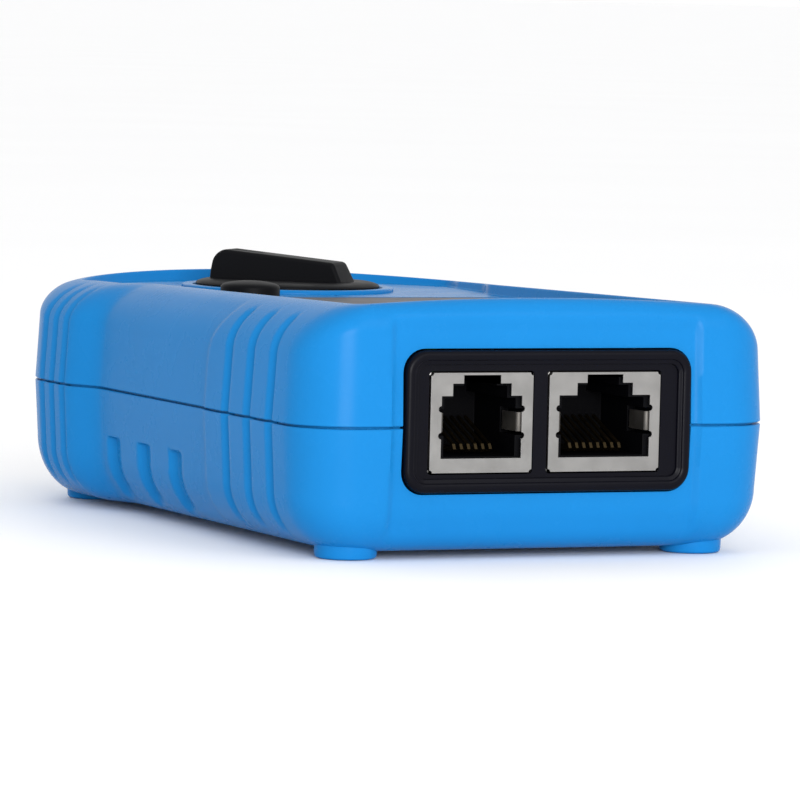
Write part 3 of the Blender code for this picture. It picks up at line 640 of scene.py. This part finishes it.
def make_top_shell(blue):
    rings = lining((offset(WALL, 2.6), CEILING), (offset(WALL, 0.9), 24.8),
                   (WALL, SEAM_HIGH + TOP_LIP_RISE), (TOP_LIP, SEAM_HIGH + TOP_LIP_RISE),
                   (TOP_LIP, SEAM_HIGH))
    rings.append(case_ring((SEAM_EDGE,) * 3, SEAM_HIGH))
    rings += wall_rings(SEAM_HIGH + SEAM_EDGE, TOP_START, TOP_REAR_LIFT, WALL_STEPS["top"])
    rings += round_rings(TOP_INSET, TOP_START, TOP_REAR_LIFT, rim_height, ROUND_STEPS["top"])
    rings += rim_rings()
    rings += lining(*((offset(TOP_INSET, extra), PANEL + rise) for extra, rise in PANEL_FILLET))
    top = loft("top_case", rings, blue)
    collar = [(radius, PANEL + rise) for radius, rise in COLLAR]
    combine(top, "UNION", [washer("collar", collar, KNOB, segments=COLLAR_SEGMENTS)])
    cutters = [bezel_opening(), rod("hub", KNOB, HUB_HOLE, HUB_HOLE_BOTTOM, ABOVE_ALL),
               rod("button", BUTTON, BUTTON_HOLE, UNDER_PANEL, ABOVE_ALL),
               prism("pocket", label_outline(POCKET_GAP), "Z", LABEL_LOW.z - POCKET_DEPTH,
                     ABOVE_ALL)]
    cutters += [rod(f"lamp_{k}", spot, LAMP_HOLE, UNDER_PANEL, OVER_PANEL, LAMP_SEGMENTS)
                for k, spot in enumerate(LEDS)]
    cutters += [dial_tick(angle) for angle in TICK_ANGLES]
    combine(top, "DIFFERENCE", cutters)
    stand_for(top, "case", "case_plastic", "top_shell")


def turn_about_knob(thing, angle):
    """Turn a shape made about the origin and put it on the selector's axis."""
    place = Matrix.Translation((KNOB.x * MM, KNOB.y * MM, 0.0))
    thing.data.transform(place @ Matrix.Rotation(angle, 4, "Z"))
    return thing


def dial_tick(angle):
    """Cutter for a moulded tick beside the collar, one for each selector position."""
    tick = block("tick", (TICK_REACH[0], -TICK_HALF_WIDTH, PANEL - TICK_DEPTH),
                 (TICK_REACH[1], TICK_HALF_WIDTH, PANEL + 1.0))
    return turn_about_knob(tick, angle)


BEZEL_GAP, BEZEL_OPENING_RADIUS = 0.22, 3.1
LABEL_CORNER = 3.0


def bezel_opening():
    outline = rounded_rectangle(outset(BEZEL_LOW.x, BEZEL_HIGH.x, BEZEL_GAP),
                                outset(BEZEL_LOW.z, BEZEL_HIGH.z, BEZEL_GAP),
                                BEZEL_OPENING_RADIUS)
    return prism("opening", outline, "Y", FRONT - 2.0, FRONT + 5.0)


def label_outline(margin=0.0):
    return rounded_rectangle(outset(LABEL_LOW.x, LABEL_HIGH.x, margin),
                             outset(LABEL_LOW.y, LABEL_HIGH.y, margin), LABEL_CORNER + margin)


FOOT = ((3.45, 0.0), (3.8, 0.07), (3.98, 0.25), (4.08, 0.7), (4.1, 3.0))   # radius and height
BOSS_RADIUS, BOSS_BOTTOM = 3.75, 2.6
COVER_GAP, COVER_RECESS_RADIUS, COVER_RECESS_TOP = 0.25, 1.6, 2.4
MOUTH_HALF_WIDTH, MOUTH_LEDGE, MOUTH_RADIUS, MOUTH_TOP = 13.8, 2.5, 1.0, 6.0
SCREW_RECESS, SCREW_RECESS_TOP = 3.0, 8.0
SCREW_HOLE, SCREW_HOLE_HEIGHTS, SCREW_HOLE_SEGMENTS = 1.8, (7.0, 20.0), 24


def make_bottom_shell(blue):
    rings = lining((offset(WALL, 2.4), FLOOR), (offset(WALL, 0.5), 6.5), (WALL, SEAM_LOW),
                   (TONGUE_INNER, SEAM_HIGH + TONGUE_RISE),
                   (TONGUE_OUTER, SEAM_HIGH + TONGUE_RISE),
                   (TONGUE_OUTER, SEAM_HIGH - SHELL_CLEARANCE))
    rings += [case_ring((SEAM_GROOVE,) * 3, SEAM_HIGH - SHELL_CLEARANCE),
              case_ring((SEAM_GROOVE,) * 3, SEAM_LOW), case_ring((SEAM_EDGE,) * 3, SEAM_LOW)]
    rings += wall_rings(SEAM_LOW - SEAM_EDGE, BOTTOM_START, BOTTOM_REAR_LIFT,
                        WALL_STEPS["bottom"])
    rings += round_rings(BOTTOM_INSET, BOTTOM_START, BOTTOM_REAR_LIFT, lambda x, depth: BOTTOM,
                         ROUND_STEPS["bottom"])
    bottom = loft("bottom_case", rings, blue)
    feet = []
    for k, screw in enumerate(SCREWS):
        feet.append(turned(f"foot_{k}", FOOT, screw))
        feet.append(rod(f"boss_{k}", screw, BOSS_RADIUS, BOSS_BOTTOM, SEAM_LOW))
    combine(bottom, "UNION", feet)
    recess = rounded_rectangle(outset(COVER_LOW.x, COVER_HIGH.x, COVER_GAP),
                               outset(COVER_LOW.y, COVER_HIGH.y, COVER_GAP), COVER_RECESS_RADIUS)
    mouth = rounded_rectangle((-MOUTH_HALF_WIDTH, MOUTH_HALF_WIDTH),
                              outset(COVER_LOW.y, COVER_HIGH.y, -MOUTH_LEDGE), MOUTH_RADIUS)
    cutters = [bezel_opening(), prism("recess", recess, "Z", BELOW_ALL, COVER_RECESS_TOP),
               prism("mouth", mouth, "Z", -1.0, MOUTH_TOP)]
    for k, screw in enumerate(SCREWS):
        cutters.append(rod(f"recess_{k}", screw, SCREW_RECESS, -1.0, SCREW_RECESS_TOP))
        cutters.append(rod(f"hole_{k}", screw, SCREW_HOLE, *SCREW_HOLE_HEIGHTS,
                           SCREW_HOLE_SEGMENTS))
    combine(bottom, "DIFFERENCE", cutters)
    stand_for(bottom, "case", "case_plastic", "bottom_shell")


COVER_RADIUS, COVER_SHEET = 1.4, 1.1
RIB_PLACE, RIB_HALF_WIDTH, RIB_MARGIN = 9.6, 0.6, 5.0
RIDGES, RIDGE_PITCH, RIDGE_WIDTH, RIDGE_DEPTH = 5, 1.5, 0.7, 0.45
RIDGE_HALF_LENGTH, RIDGE_RADIUS, RIDGES_FROM_END = 7.0, 0.34, 10.0
ARROW_HALF_WIDTH, ARROW_BASE, ARROW_TIP, ARROW_DEPTH = 3.2, 2.0, 6.0, 0.35


def make_cover(blue):
    """Battery cover: sheet with two ribs inside, thumb ridges and an arrow outside."""
    outline = rounded_rectangle((COVER_LOW.x, COVER_HIGH.x), (COVER_LOW.y, COVER_HIGH.y),
                                COVER_RADIUS)
    cover = prism("battery_door", outline, "Z", COVER_LOW.z, COVER_LOW.z + COVER_SHEET, blue)
    ribs = []
    for side in (-1, 1):
        left, right = outset(side * RIB_PLACE, side * RIB_PLACE, RIB_HALF_WIDTH)
        ribs.append(block(f"rib_{side}", (left, COVER_LOW.y + RIB_MARGIN, COVER_LOW.z + 0.5),
                          (right, COVER_HIGH.y - RIB_MARGIN, COVER_HIGH.z)))
    combine(cover, "UNION", ribs)
    first = COVER_HIGH.y - RIDGES_FROM_END
    marks = []
    for k in range(RIDGES):
        y = first + RIDGE_PITCH * k
        ridge = rounded_rectangle((-RIDGE_HALF_LENGTH, RIDGE_HALF_LENGTH), (y, y + RIDGE_WIDTH),
                                  RIDGE_RADIUS, 4)
        marks.append(prism(f"ridge_{k}", ridge, "Z", 0.0, COVER_LOW.z + RIDGE_DEPTH))
    arrow = [(-ARROW_HALF_WIDTH, first - ARROW_BASE), (0.0, first - ARROW_TIP),
             (ARROW_HALF_WIDTH, first - ARROW_BASE)]
    marks.append(prism("arrow", arrow, "Z", 0.0, COVER_LOW.z + ARROW_DEPTH))
    combine(cover, "DIFFERENCE", marks)
    weigh_normals(round_edges(cover, 0.12))
    stand_for(cover, "cover", "case_plastic", "battery_cover")


# ---- bezel and sockets ---------------------------------------------------------------------------

BEZEL_FLOOR = 0.8
BEZEL_RIM = ((0.0, 0.62), (0.06, 0.36), (0.2, 0.16), (0.42, 0.04), (0.7, 0.0), (1.05, 0.02),
             (1.22, 0.12), (1.3, 0.3), (1.42, 0.36), (1.7, 0.38), (1.82, 0.46))  # inset and depth
BEZEL_RADIUS, BEZEL_INNER_RADIUS, BEZEL_TAPER = 2.9, 0.8, 0.9
WINDOW_GAP, WINDOW_RADIUS = 0.22, 0.5


def make_bezel(black):
    """Frame with a rounded rim, a fine bead inside it and a sunk floor."""
    floor = BEZEL_LOW.y + BEZEL_FLOOR
    steps = [(0.0, BEZEL_HIGH.y)] + [(inset, BEZEL_LOW.y + depth) for inset, depth in BEZEL_RIM]
    steps += [(1.88, floor), (2.1, floor + 0.02)]
    rings = []
    for inset, y in steps:
        outline = rounded_rectangle(outset(BEZEL_LOW.x, BEZEL_HIGH.x, -inset),
                                    outset(BEZEL_LOW.z, BEZEL_HIGH.z, -inset),
                                    max(BEZEL_RADIUS - inset * BEZEL_TAPER, BEZEL_INNER_RADIUS), 10)
        rings.append([(x, y, z) for x, z in outline])
    bezel = loft("socket_bezel", rings, black)
    windows = []
    for key in SOCKETS:
        low, high = box_mm(f"{key}_shield")
        outline = rounded_rectangle(outset(low.x, high.x, WINDOW_GAP),
                                    outset(low.z, high.z, WINDOW_GAP), WINDOW_RADIUS, 4)
        windows.append(prism(f"{key}_window", outline, "Y", FRONT - 3.0, FRONT + 6.0))
    weigh_normals(combine(bezel, "DIFFERENCE", windows))
    stand_for(bezel, "case", "bezel_plastic", "port_bezel")


# Widths of the keyhole from its base to its latch notch, and the tops of those three steps.
SOCKETS = {"rj12": (11.4, 8.3, 5.25), "rj45": (13.1, 8.0, 5.15)}
KEYHOLE_BASE = 13.25
KEYHOLE_TOPS = (8.06, 9.66, 10.75)
SHEET = 0.3
FINGER = (16.6, 19.2)                  # heights of the spring fingers
FINGER_RELIEF, CORNER_RELIEF = 0.42, 0.38
FINGER_GAP, FINGER_THICKNESS = 0.06, 0.24
FINGER_SET_BACK, FINGER_BEND = 0.35, 0.36
CAVITY_SHRINK, CAVITY_FLOOR = 0.65, 2.6
SLOT_INNER, SLOT_OUTER, SLOT_DEPTH, SLOT_GAP = 1.4, 0.5, 4.6, 0.4


def keyhole(middle, widths, shrink=0.0):
    """Stepped opening as (x, z) points."""
    half = (widths[0] / 2 - shrink, widths[1] / 2 - shrink / 2, widths[2] / 2 - shrink / 2)
    tops = [KEYHOLE_BASE + top - shrink / 2 for top in KEYHOLE_TOPS]
    right = [(half[0], KEYHOLE_BASE + shrink / 3), (half[0], tops[0]), (half[1], tops[0]),
             (half[1], tops[1]), (half[2], tops[1]), (half[2], tops[2])]
    left = [(-x, z) for x, z in reversed(right)]
    return [(middle + x, z) for x, z in right + left]


def make_shield(key, widths, nickel, spring):
    """Stamped shield: folded sheet with a keyhole, corner reliefs and two spring fingers."""
    low, high = box_mm(f"{key}_shield")
    middle = (low.x + high.x) / 2
    shield = block(f"{key}_screen", low, high, nickel)
    cutters = [block("inside", (low.x + SHEET, low.y + SHEET, 0.0),
                     (high.x - SHEET, high.y + 5.0, high.z - SHEET)),
               prism("face", keyhole(middle, widths), "Y", low.y - 1.0, low.y + 1.0)]
    for side in (-1, 1):
        edge = middle + side * widths[0] / 2
        for height in outset(*FINGER, FINGER_RELIEF):
            cutters.append(barrel("relief", edge, height, FINGER_RELIEF, low.y - 1.0, low.y + 1.0))
        for height in (low.z, high.z):
            corner = low.x if side < 0 else high.x
            cutters.append(barrel("corner", corner, height, CORNER_RELIEF, low.y - 1.0,
                                  low.y + 0.9))
    combine(shield, "DIFFERENCE", cutters)
    weigh_normals(round_edges(shield, 0.07))
    stand_for(shield, "case", "shield_metal", f"{key}_shield")
    # the fingers take a darker copy of the shield's metal, painted shade for their place inside the
    # socket
    for side, word in ((-1, "left"), (1, "right")):
        edge = middle + side * (widths[0] / 2 - 0.02)
        finger = make_finger(f"{key}_finger_{word}", edge, side, low.y + FINGER_SET_BACK, spring)
        stand_for(finger, "case", "shield_metal")


def make_finger(name, edge, side, face, spring):
    """Spring finger: rolls back from the face edge, then leans into the socket."""
    path = [(edge + side * 0.34, face + 0.16)]
    for k in range(7):
        angle = radians(90 * k / 6)
        path.append((edge - side * 0.05 - side * FINGER_BEND * sin(angle),
                     face + 0.52 - FINGER_BEND * cos(angle)))
    path += [(edge - side * 0.5, face + 2.2), (edge - side * 0.66, face + 3.6),
             (edge - side * 0.45, face + 4.4)]
    outline = ribbon(path, FINGER_THICKNESS)
    finger = prism(name, outline, "Z", *outset(*FINGER, -FINGER_GAP), spring)
    return weigh_normals(round_edges(finger, 0.05))


def ribbon(path, thickness):
    """Outline of a strip of even thickness along a bent path."""
    points = [Vector(point) for point in path]
    sides = []
    for k, point in enumerate(points):
        before = (point - points[k - 1]).normalized() if k else (points[1] - point).normalized()
        after = (points[k + 1] - point).normalized() if k + 1 < len(points) else before
        along = (before + after).normalized()
        across = Vector((-along.y, along.x)) * (thickness / 2) / max(along.dot(before), 0.5)
        sides.append((point + across, point - across))
    return [tuple(side[0]) for side in sides] + [tuple(side[1]) for side in reversed(sides)]


def make_housing(key, widths, black):
    """Black socket body with a stepped cavity and a slot behind each spring finger."""
    low, high = box_mm(f"{key}_housing")
    middle = (low.x + high.x) / 2
    housing = block(f"{key}_body", low, high, black)
    cutters = [prism("cavity", keyhole(middle, widths, CAVITY_SHRINK), "Y", low.y - 1.0,
                     high.y - CAVITY_FLOOR)]
    bottom, top = outset(*FINGER, SLOT_GAP)
    for side in (-1, 1):
        inner, outer = sorted((middle + side * (widths[0] / 2 - SLOT_INNER),
                               middle + side * (widths[0] / 2 + SLOT_OUTER)))
        cutters.append(block("slot", (inner, low.y - 1.0, bottom),
                             (outer, low.y + SLOT_DEPTH, top)))
    combine(housing, "DIFFERENCE", cutters)
    weigh_normals(round_edges(housing, 0.1))
    stand_for(housing, "case", "socket_plastic", f"{key}_housing")


# ---- selector, button, label and lamps -----------------------------------------------------------

DISC_BASE = PANEL + 0.3
DISC_EDGE = ((12.6, 0.0), (12.92, 0.06), (13.08, 0.22), (13.08, 0.42), (12.9, 0.62),
             (12.4, 0.82), (11.9, 0.94), (11.1, 1.0), (6.0, 1.04), (0.0, 1.06))
STEM_RADIUS = 4.0
KNOB_TURN = radians(135.0)             # direction of the pointer at rest
BAR_BASE = 31.0
BAR_TOP = (35.7, 34.4)                 # height of the tall and the low end
BAR_HALF_WIDTHS, BAR_TAPER_HEIGHT = (3.05, 2.6), 4.0
BAR_NOSE, BAR_NOSE_RADIUS = (8.5, 33.45), 2.25
POINTER_REACH, POINTER_HALF_WIDTH, POINTER_DEPTH = (3.6, 12.5), 0.3, 0.42
BLEND_ANGLE = 28                       # sharpest smooth edge on the selector


def make_knob(black):
    """Disc on a stem, with a bar grip and an engraved pointer line."""
    profile = [(STEM_RADIUS, KNOB_BOTTOM), (STEM_RADIUS, DISC_BASE)]
    profile += [(radius, DISC_BASE + rise) for radius, rise in DISC_EDGE]
    knob = turned("selector", profile, KNOB, black, 96)
    combine(knob, "UNION", [turn_about_knob(make_bar("bar", black), KNOB_TURN)], BLEND_ANGLE)
    pointer = block("pointer", (POINTER_REACH[0], -POINTER_HALF_WIDTH, BAR_TOP[0] - POINTER_DEPTH),
                    (POINTER_REACH[1], POINTER_HALF_WIDTH, BAR_TOP[0] + 1.0))
    combine(knob, "DIFFERENCE", [turn_about_knob(pointer, KNOB_TURN)], BLEND_ANGLE)
    stand_for(weigh_normals(knob), "selector", "knob_plastic", "selector_knob")


def make_bar(name, black):
    """Bar grip: slightly tapered sides, a high rounded end and a low slanted end."""
    side_view = [(-9.35, BAR_BASE), (10.95, BAR_BASE), (10.9, 32.6)]
    for k in range(8):
        angle = radians(5 + 80 * k / 7)
        side_view.append((BAR_NOSE[0] + BAR_NOSE_RADIUS * cos(angle),
                          BAR_NOSE[1] + BAR_NOSE_RADIUS * sin(angle)))
    side_view += [(-7.45, BAR_TOP[1]), (-7.8, BAR_TOP[1] - 0.14), (-8.05, BAR_TOP[1] - 0.45),
                  (-9.15, 31.7)]
    wide, narrow = BAR_HALF_WIDTHS
    flanks = []
    for side in (-1, 1):
        flanks.append([(x, side * (wide + (narrow - wide) * (z - BAR_BASE) / BAR_TAPER_HEIGHT), z)
                       for x, z in side_view])
    return round_edges(loft(name, flanks, black), 0.55, segments=4, angle=50)


BUTTON_COLLAR, BUTTON_COLLAR_HEIGHT = 5.0, 0.4
BUTTON_CAP = ((4.1, 31.75), (4.04, 31.95), (3.88, 32.12), (3.6, 32.27), (3.2, 32.39), (2.6, 32.51),
              (1.9, 32.61), (1.0, 32.68), (0.0, 32.7))


def make_button(black):
    shoulder = BUTTON_BOTTOM + BUTTON_COLLAR_HEIGHT
    profile = [(BUTTON_COLLAR, BUTTON_BOTTOM), (BUTTON_COLLAR, shoulder),
               (BUTTON_CAP[0][0], shoulder), *BUTTON_CAP]
    stand_for(turned("push_button", profile, BUTTON, black, 64), "button", "knob_plastic",
              "test_button")


UNDER_FILM, OVER_FILM = 28.0, 33.0
BUTTON_WINDOW = 5.3
LAMP_WINDOW, LAMP_WINDOW_SEGMENTS = 1.75, 28
PRINT_LOW, PRINT_HIGH = LABEL_HIGH.z - 0.05, LABEL_HIGH.z + 0.03
FRAME_REACH = (8.0, 4.0, 3.6)          # left, right and end distances from the lamps
FRAME_RADIUS, FRAME_LINE = 1.6, 0.3
NUMBER_PLACE, NUMBER_SIZE, NUMBER_HEIGHT = 4.6, 2.6, 0.04
LAMP_RING = (1.95, 2.2)


def make_label(film, white):
    """Overlay film with lamp windows, a printed frame and a number beside each lamp."""
    label = prism("overlay", label_outline(), "Z", LABEL_LOW.z, LABEL_HIGH.z, film)
    holes = [rod("button", BUTTON, BUTTON_WINDOW, UNDER_FILM, OVER_FILM)]
    holes += [rod(f"lamp_{k}", spot, LAMP_WINDOW, UNDER_FILM, OVER_FILM, LAMP_WINDOW_SEGMENTS)
              for k, spot in enumerate(LEDS)]
    combine(label, "DIFFERENCE", holes)
    weigh_normals(round_edges(label, 0.06))
    stand_for(label, "case", "label_film", "faceplate_label")
    left, right, end = FRAME_REACH
    line = printed_frame("lamp_frame", (LEDS[0].x - left, LEDS[0].x + right),
                         (LEDS[0].y - end, LEDS[-1].y + end), white)
    stand_for(line, "case", "label_film")
    for k, spot in enumerate(LEDS[:-1]):
        number = printed_number(f"lamp_number_{k + 1}", str(k + 1), spot, white)
        stand_for(number, "case", "label_film")
    inner, outer = LAMP_RING
    profile = [(inner, PRINT_LOW), (outer, PRINT_LOW), (outer, PRINT_HIGH), (inner, PRINT_HIGH)]
    for k, spot in enumerate(LEDS):
        ring = washer(f"lamp_ring_{k + 1}", profile, spot, white, 32)
        stand_for(ring, "case", "label_film")


def printed_frame(name, x_range, y_range, white):
    outer = prism(name, rounded_rectangle(x_range, y_range, FRAME_RADIUS), "Z", PRINT_LOW,
                  PRINT_HIGH, white)
    inner = rounded_rectangle(outset(*x_range, -FRAME_LINE), outset(*y_range, -FRAME_LINE),
                              FRAME_RADIUS - FRAME_LINE)
    cutter = prism("inner", inner, "Z", LABEL_HIGH.z - 1.0, LABEL_HIGH.z + 1.0)
    return combine(outer, "DIFFERENCE", [cutter])


def printed_number(name, digits, spot, white):
    """Flat digits beside a lamp, turned into a mesh."""
    curve = bpy.data.curves.new(name, "FONT")
    curve.body = digits
    curve.size = NUMBER_SIZE * MM
    curve.extrude = NUMBER_HEIGHT * MM
    curve.align_x = "CENTER"
    curve.align_y = "CENTER"
    text = put_in_scene(bpy.data.objects.new(name, curve))
    text.location = Vector((spot.x - NUMBER_PLACE, spot.y, LABEL_HIGH.z)) * MM
    bpy.context.view_layer.update()
    graph = bpy.context.evaluated_depsgraph_get()
    mesh = bpy.data.meshes.new_from_object(text.evaluated_get(graph))
    mesh.transform(text.matrix_world)
    bpy.data.objects.remove(text, do_unlink=True)
    mesh.materials.clear()
    mesh.materials.append(white)
    return put_in_scene(bpy.data.objects.new(name, mesh))


LAMP_FLANGE, LAMP_FLANGE_HEIGHT = 1.9, 0.8
LAMP_RADIUS, LAMP_DOME = 1.5, 0.45


def make_lamps(green, amber):
    for name in LED_NAMES:
        low, high = box_mm(name)
        flange_top = low.z + LAMP_FLANGE_HEIGHT
        profile = [(LAMP_FLANGE, low.z), (LAMP_FLANGE, flange_top), (LAMP_RADIUS, flange_top),
                   (LAMP_RADIUS, high.z - LAMP_DOME)]
        for k in range(1, 8):
            angle = radians(90 * k / 7)
            profile.append((LAMP_RADIUS * cos(angle),
                            high.z - LAMP_DOME + LAMP_DOME * sin(angle)))
        look, slot = (amber, "led_amber") if name == "led_ground" else (green, "led_green")
        lamp = turned(name + "_lens", profile, middle_of(name), look, 32)
        stand_for(lamp, "case", slot, name)


SCREW_HEAD = ((0.0, 0.0), (1.3, 0.05), (2.2, 0.3), (2.5, 0.65), (2.6, 1.1), (2.6, 2.3), (1.5, 2.3))
SCREW_RADIUS, SCREW_TIP_RADIUS, SCREW_TIP = 1.5, 0.3, 1.0
CROSS_LENGTH, CROSS_WIDTH, CROSS_DEPTH = 1.4, 0.3, 1.1   # half length, half width


def make_case_screws(steel):
    """Pan-head screws with a cross recess, seen from below in the feet."""
    for k, name in enumerate(SCREW_NAMES, start=1):
        low, high = box_mm(name)
        middle = middle_of(name)
        profile = [(radius, low.z + rise) for radius, rise in SCREW_HEAD]
        profile += [(SCREW_RADIUS, high.z - SCREW_TIP), (SCREW_TIP_RADIUS, high.z)]
        screw = turned(f"body_screw_{k}", profile, middle, steel, 40)
        for reach_x, reach_y in ((CROSS_LENGTH, CROSS_WIDTH), (CROSS_WIDTH, CROSS_LENGTH)):
            slot = block("slot", (middle.x - reach_x, middle.y - reach_y, 0.0),
                         (middle.x + reach_x, middle.y + reach_y, low.z + CROSS_DEPTH))
            combine(screw, "DIFFERENCE", [slot])
        stand_for(screw, "case", "screw_steel", name)


INNER_FINISHES = {
    "battery_lead_red": "red", "battery_lead_black": "socket", "battery_snap": "socket",
    "battery": "cell", "board_link_header": "socket", "controller_chip": "socket",
    "capacitor": "steel", "button_switch_body": "socket", "button_switch_plunger": "red",
    "jack_board": "laminate", "main_board": "laminate", "selector_rotor": "grey",
    "wiper_spring": "gold",
}


def dress_inner_nodes(looks):
    """Give the CAD nodes that stay their finishes."""
    for name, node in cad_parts.items():
        look = INNER_FINISHES.get(name)
        # contacts take the darkened gold, painted shade for their place deep in the sockets
        if "_contact_" in name:
            look = "gold"
        elif name.startswith("board_screw"):
            look = "steel"
        if look:
            node.data.materials.clear()
            node.data.materials.append(looks[look])
            shade(node)


# ---- stage; places here are in metres ------------------------------------------------------------

FLOOR_REACH, FLOOR_LEVEL = 120000.0, -0.03               # millimetres
FLOOR_COLOURS = ((0.965, 0.965, 0.97), (0.98, 0.98, 0.985))
LIGHTS = (                             # name, place, target, size, watts
    ("key", (0.25, -0.8, 0.4), (0.0, -0.02, 0.015), (0.4, 0.4), 1.2),
    ("softbox", (-0.2, -0.8, 0.14), (-0.02, -0.05, 0.015), (0.34, 0.24), 5.0),
)


def add_area_light(name, place, target, size, power):
    data = bpy.data.lights.new(name, "AREA")
    data.shape = "RECTANGLE"
    data.size, data.size_y = size
    data.energy = power
    light = put_in_scene(bpy.data.objects.new(name, data))
    light.location = place
    aim = Vector(target) - Vector(place)
    light.rotation_euler = aim.to_track_quat("-Z", "Y").to_euler()


def make_stage():
    """Pale floor, white surroundings and two soft lights in front."""
    nodes = Nodes("studio_floor")
    nodes.feed(nodes.blend(nodes.noise(scale=6.0, detail=2.0), *FLOOR_COLOURS), "Base Color")
    nodes.feed(nodes.spread(nodes.noise(scale=40.0), low=0.6, high=0.7), "Roughness")
    shape = bmesh.new()
    corners = [(-FLOOR_REACH, -FLOOR_REACH), (FLOOR_REACH, -FLOOR_REACH),
               (FLOOR_REACH, FLOOR_REACH), (-FLOOR_REACH, FLOOR_REACH)]
    shape.faces.new([shape.verts.new((x, y, FLOOR_LEVEL)) for x, y in corners])
    floor = make_object("floor", shape, nodes.material)
    world = bpy.data.worlds.new("studio")
    world.use_nodes = True
    background = world.node_tree.nodes["Background"]
    background.inputs["Color"].default_value = (1.0, 1.0, 1.0, 1.0)
    background.inputs["Strength"].default_value = 1.0
    bpy.context.scene.world = world
    for light in LIGHTS:
        add_area_light(*light)
    bpy.context.scene.view_settings.view_transform = "Standard"


# Millimetres from the ground point under the middle of the front face, and angles in radians.
CAMERA_PLACE = (-327.0, -672.6, 72.5)
CAMERA_YAW = 0.426711916
CAMERA_PITCH = 0.0697016983
CAMERA_ROLL = 0.0243737231
LENS, SENSOR_WIDTH = 261.26, 36.0
CLIP_START, CLIP_END = 0.05, 500.0


def make_camera():
    data = bpy.data.cameras.new("camera")
    data.lens = LENS
    data.sensor_width = SENSOR_WIDTH
    data.clip_start = CLIP_START
    data.clip_end = CLIP_END
    camera = put_in_scene(bpy.data.objects.new("camera", data))
    forward = Vector((sin(CAMERA_YAW) * cos(CAMERA_PITCH), cos(CAMERA_YAW) * cos(CAMERA_PITCH),
                      -sin(CAMERA_PITCH)))
    level = Vector((cos(CAMERA_YAW), -sin(CAMERA_YAW), 0.0))
    upright = level.cross(forward)
    right = cos(CAMERA_ROLL) * level + sin(CAMERA_ROLL) * upright
    up = -sin(CAMERA_ROLL) * level + cos(CAMERA_ROLL) * upright
    turn = Matrix((right, up, -forward)).transposed().to_4x4()
    place = Vector(CAMERA_PLACE) + Vector((0.0, FRONT, 0.0))
    camera.matrix_world = Matrix.Translation(place * MM) @ turn
    bpy.context.scene.camera = camera


def main():
    make_camera()
    looks = make_materials()
    make_top_shell(looks["case"])
    make_bottom_shell(looks["case"])
    make_cover(looks["case"])
    make_bezel(looks["bezel"])
    for key, widths in SOCKETS.items():
        make_shield(key, widths, looks["nickel"], looks["spring"])
        make_housing(key, widths, looks["socket"])
    make_knob(looks["knob"])
    make_button(looks["knob"])
    make_label(looks["film"], looks["print"])
    make_lamps(looks["green_light"], looks["amber_light"])
    make_case_screws(looks["steel"])
    dress_inner_nodes(looks)
    make_stage()


main()
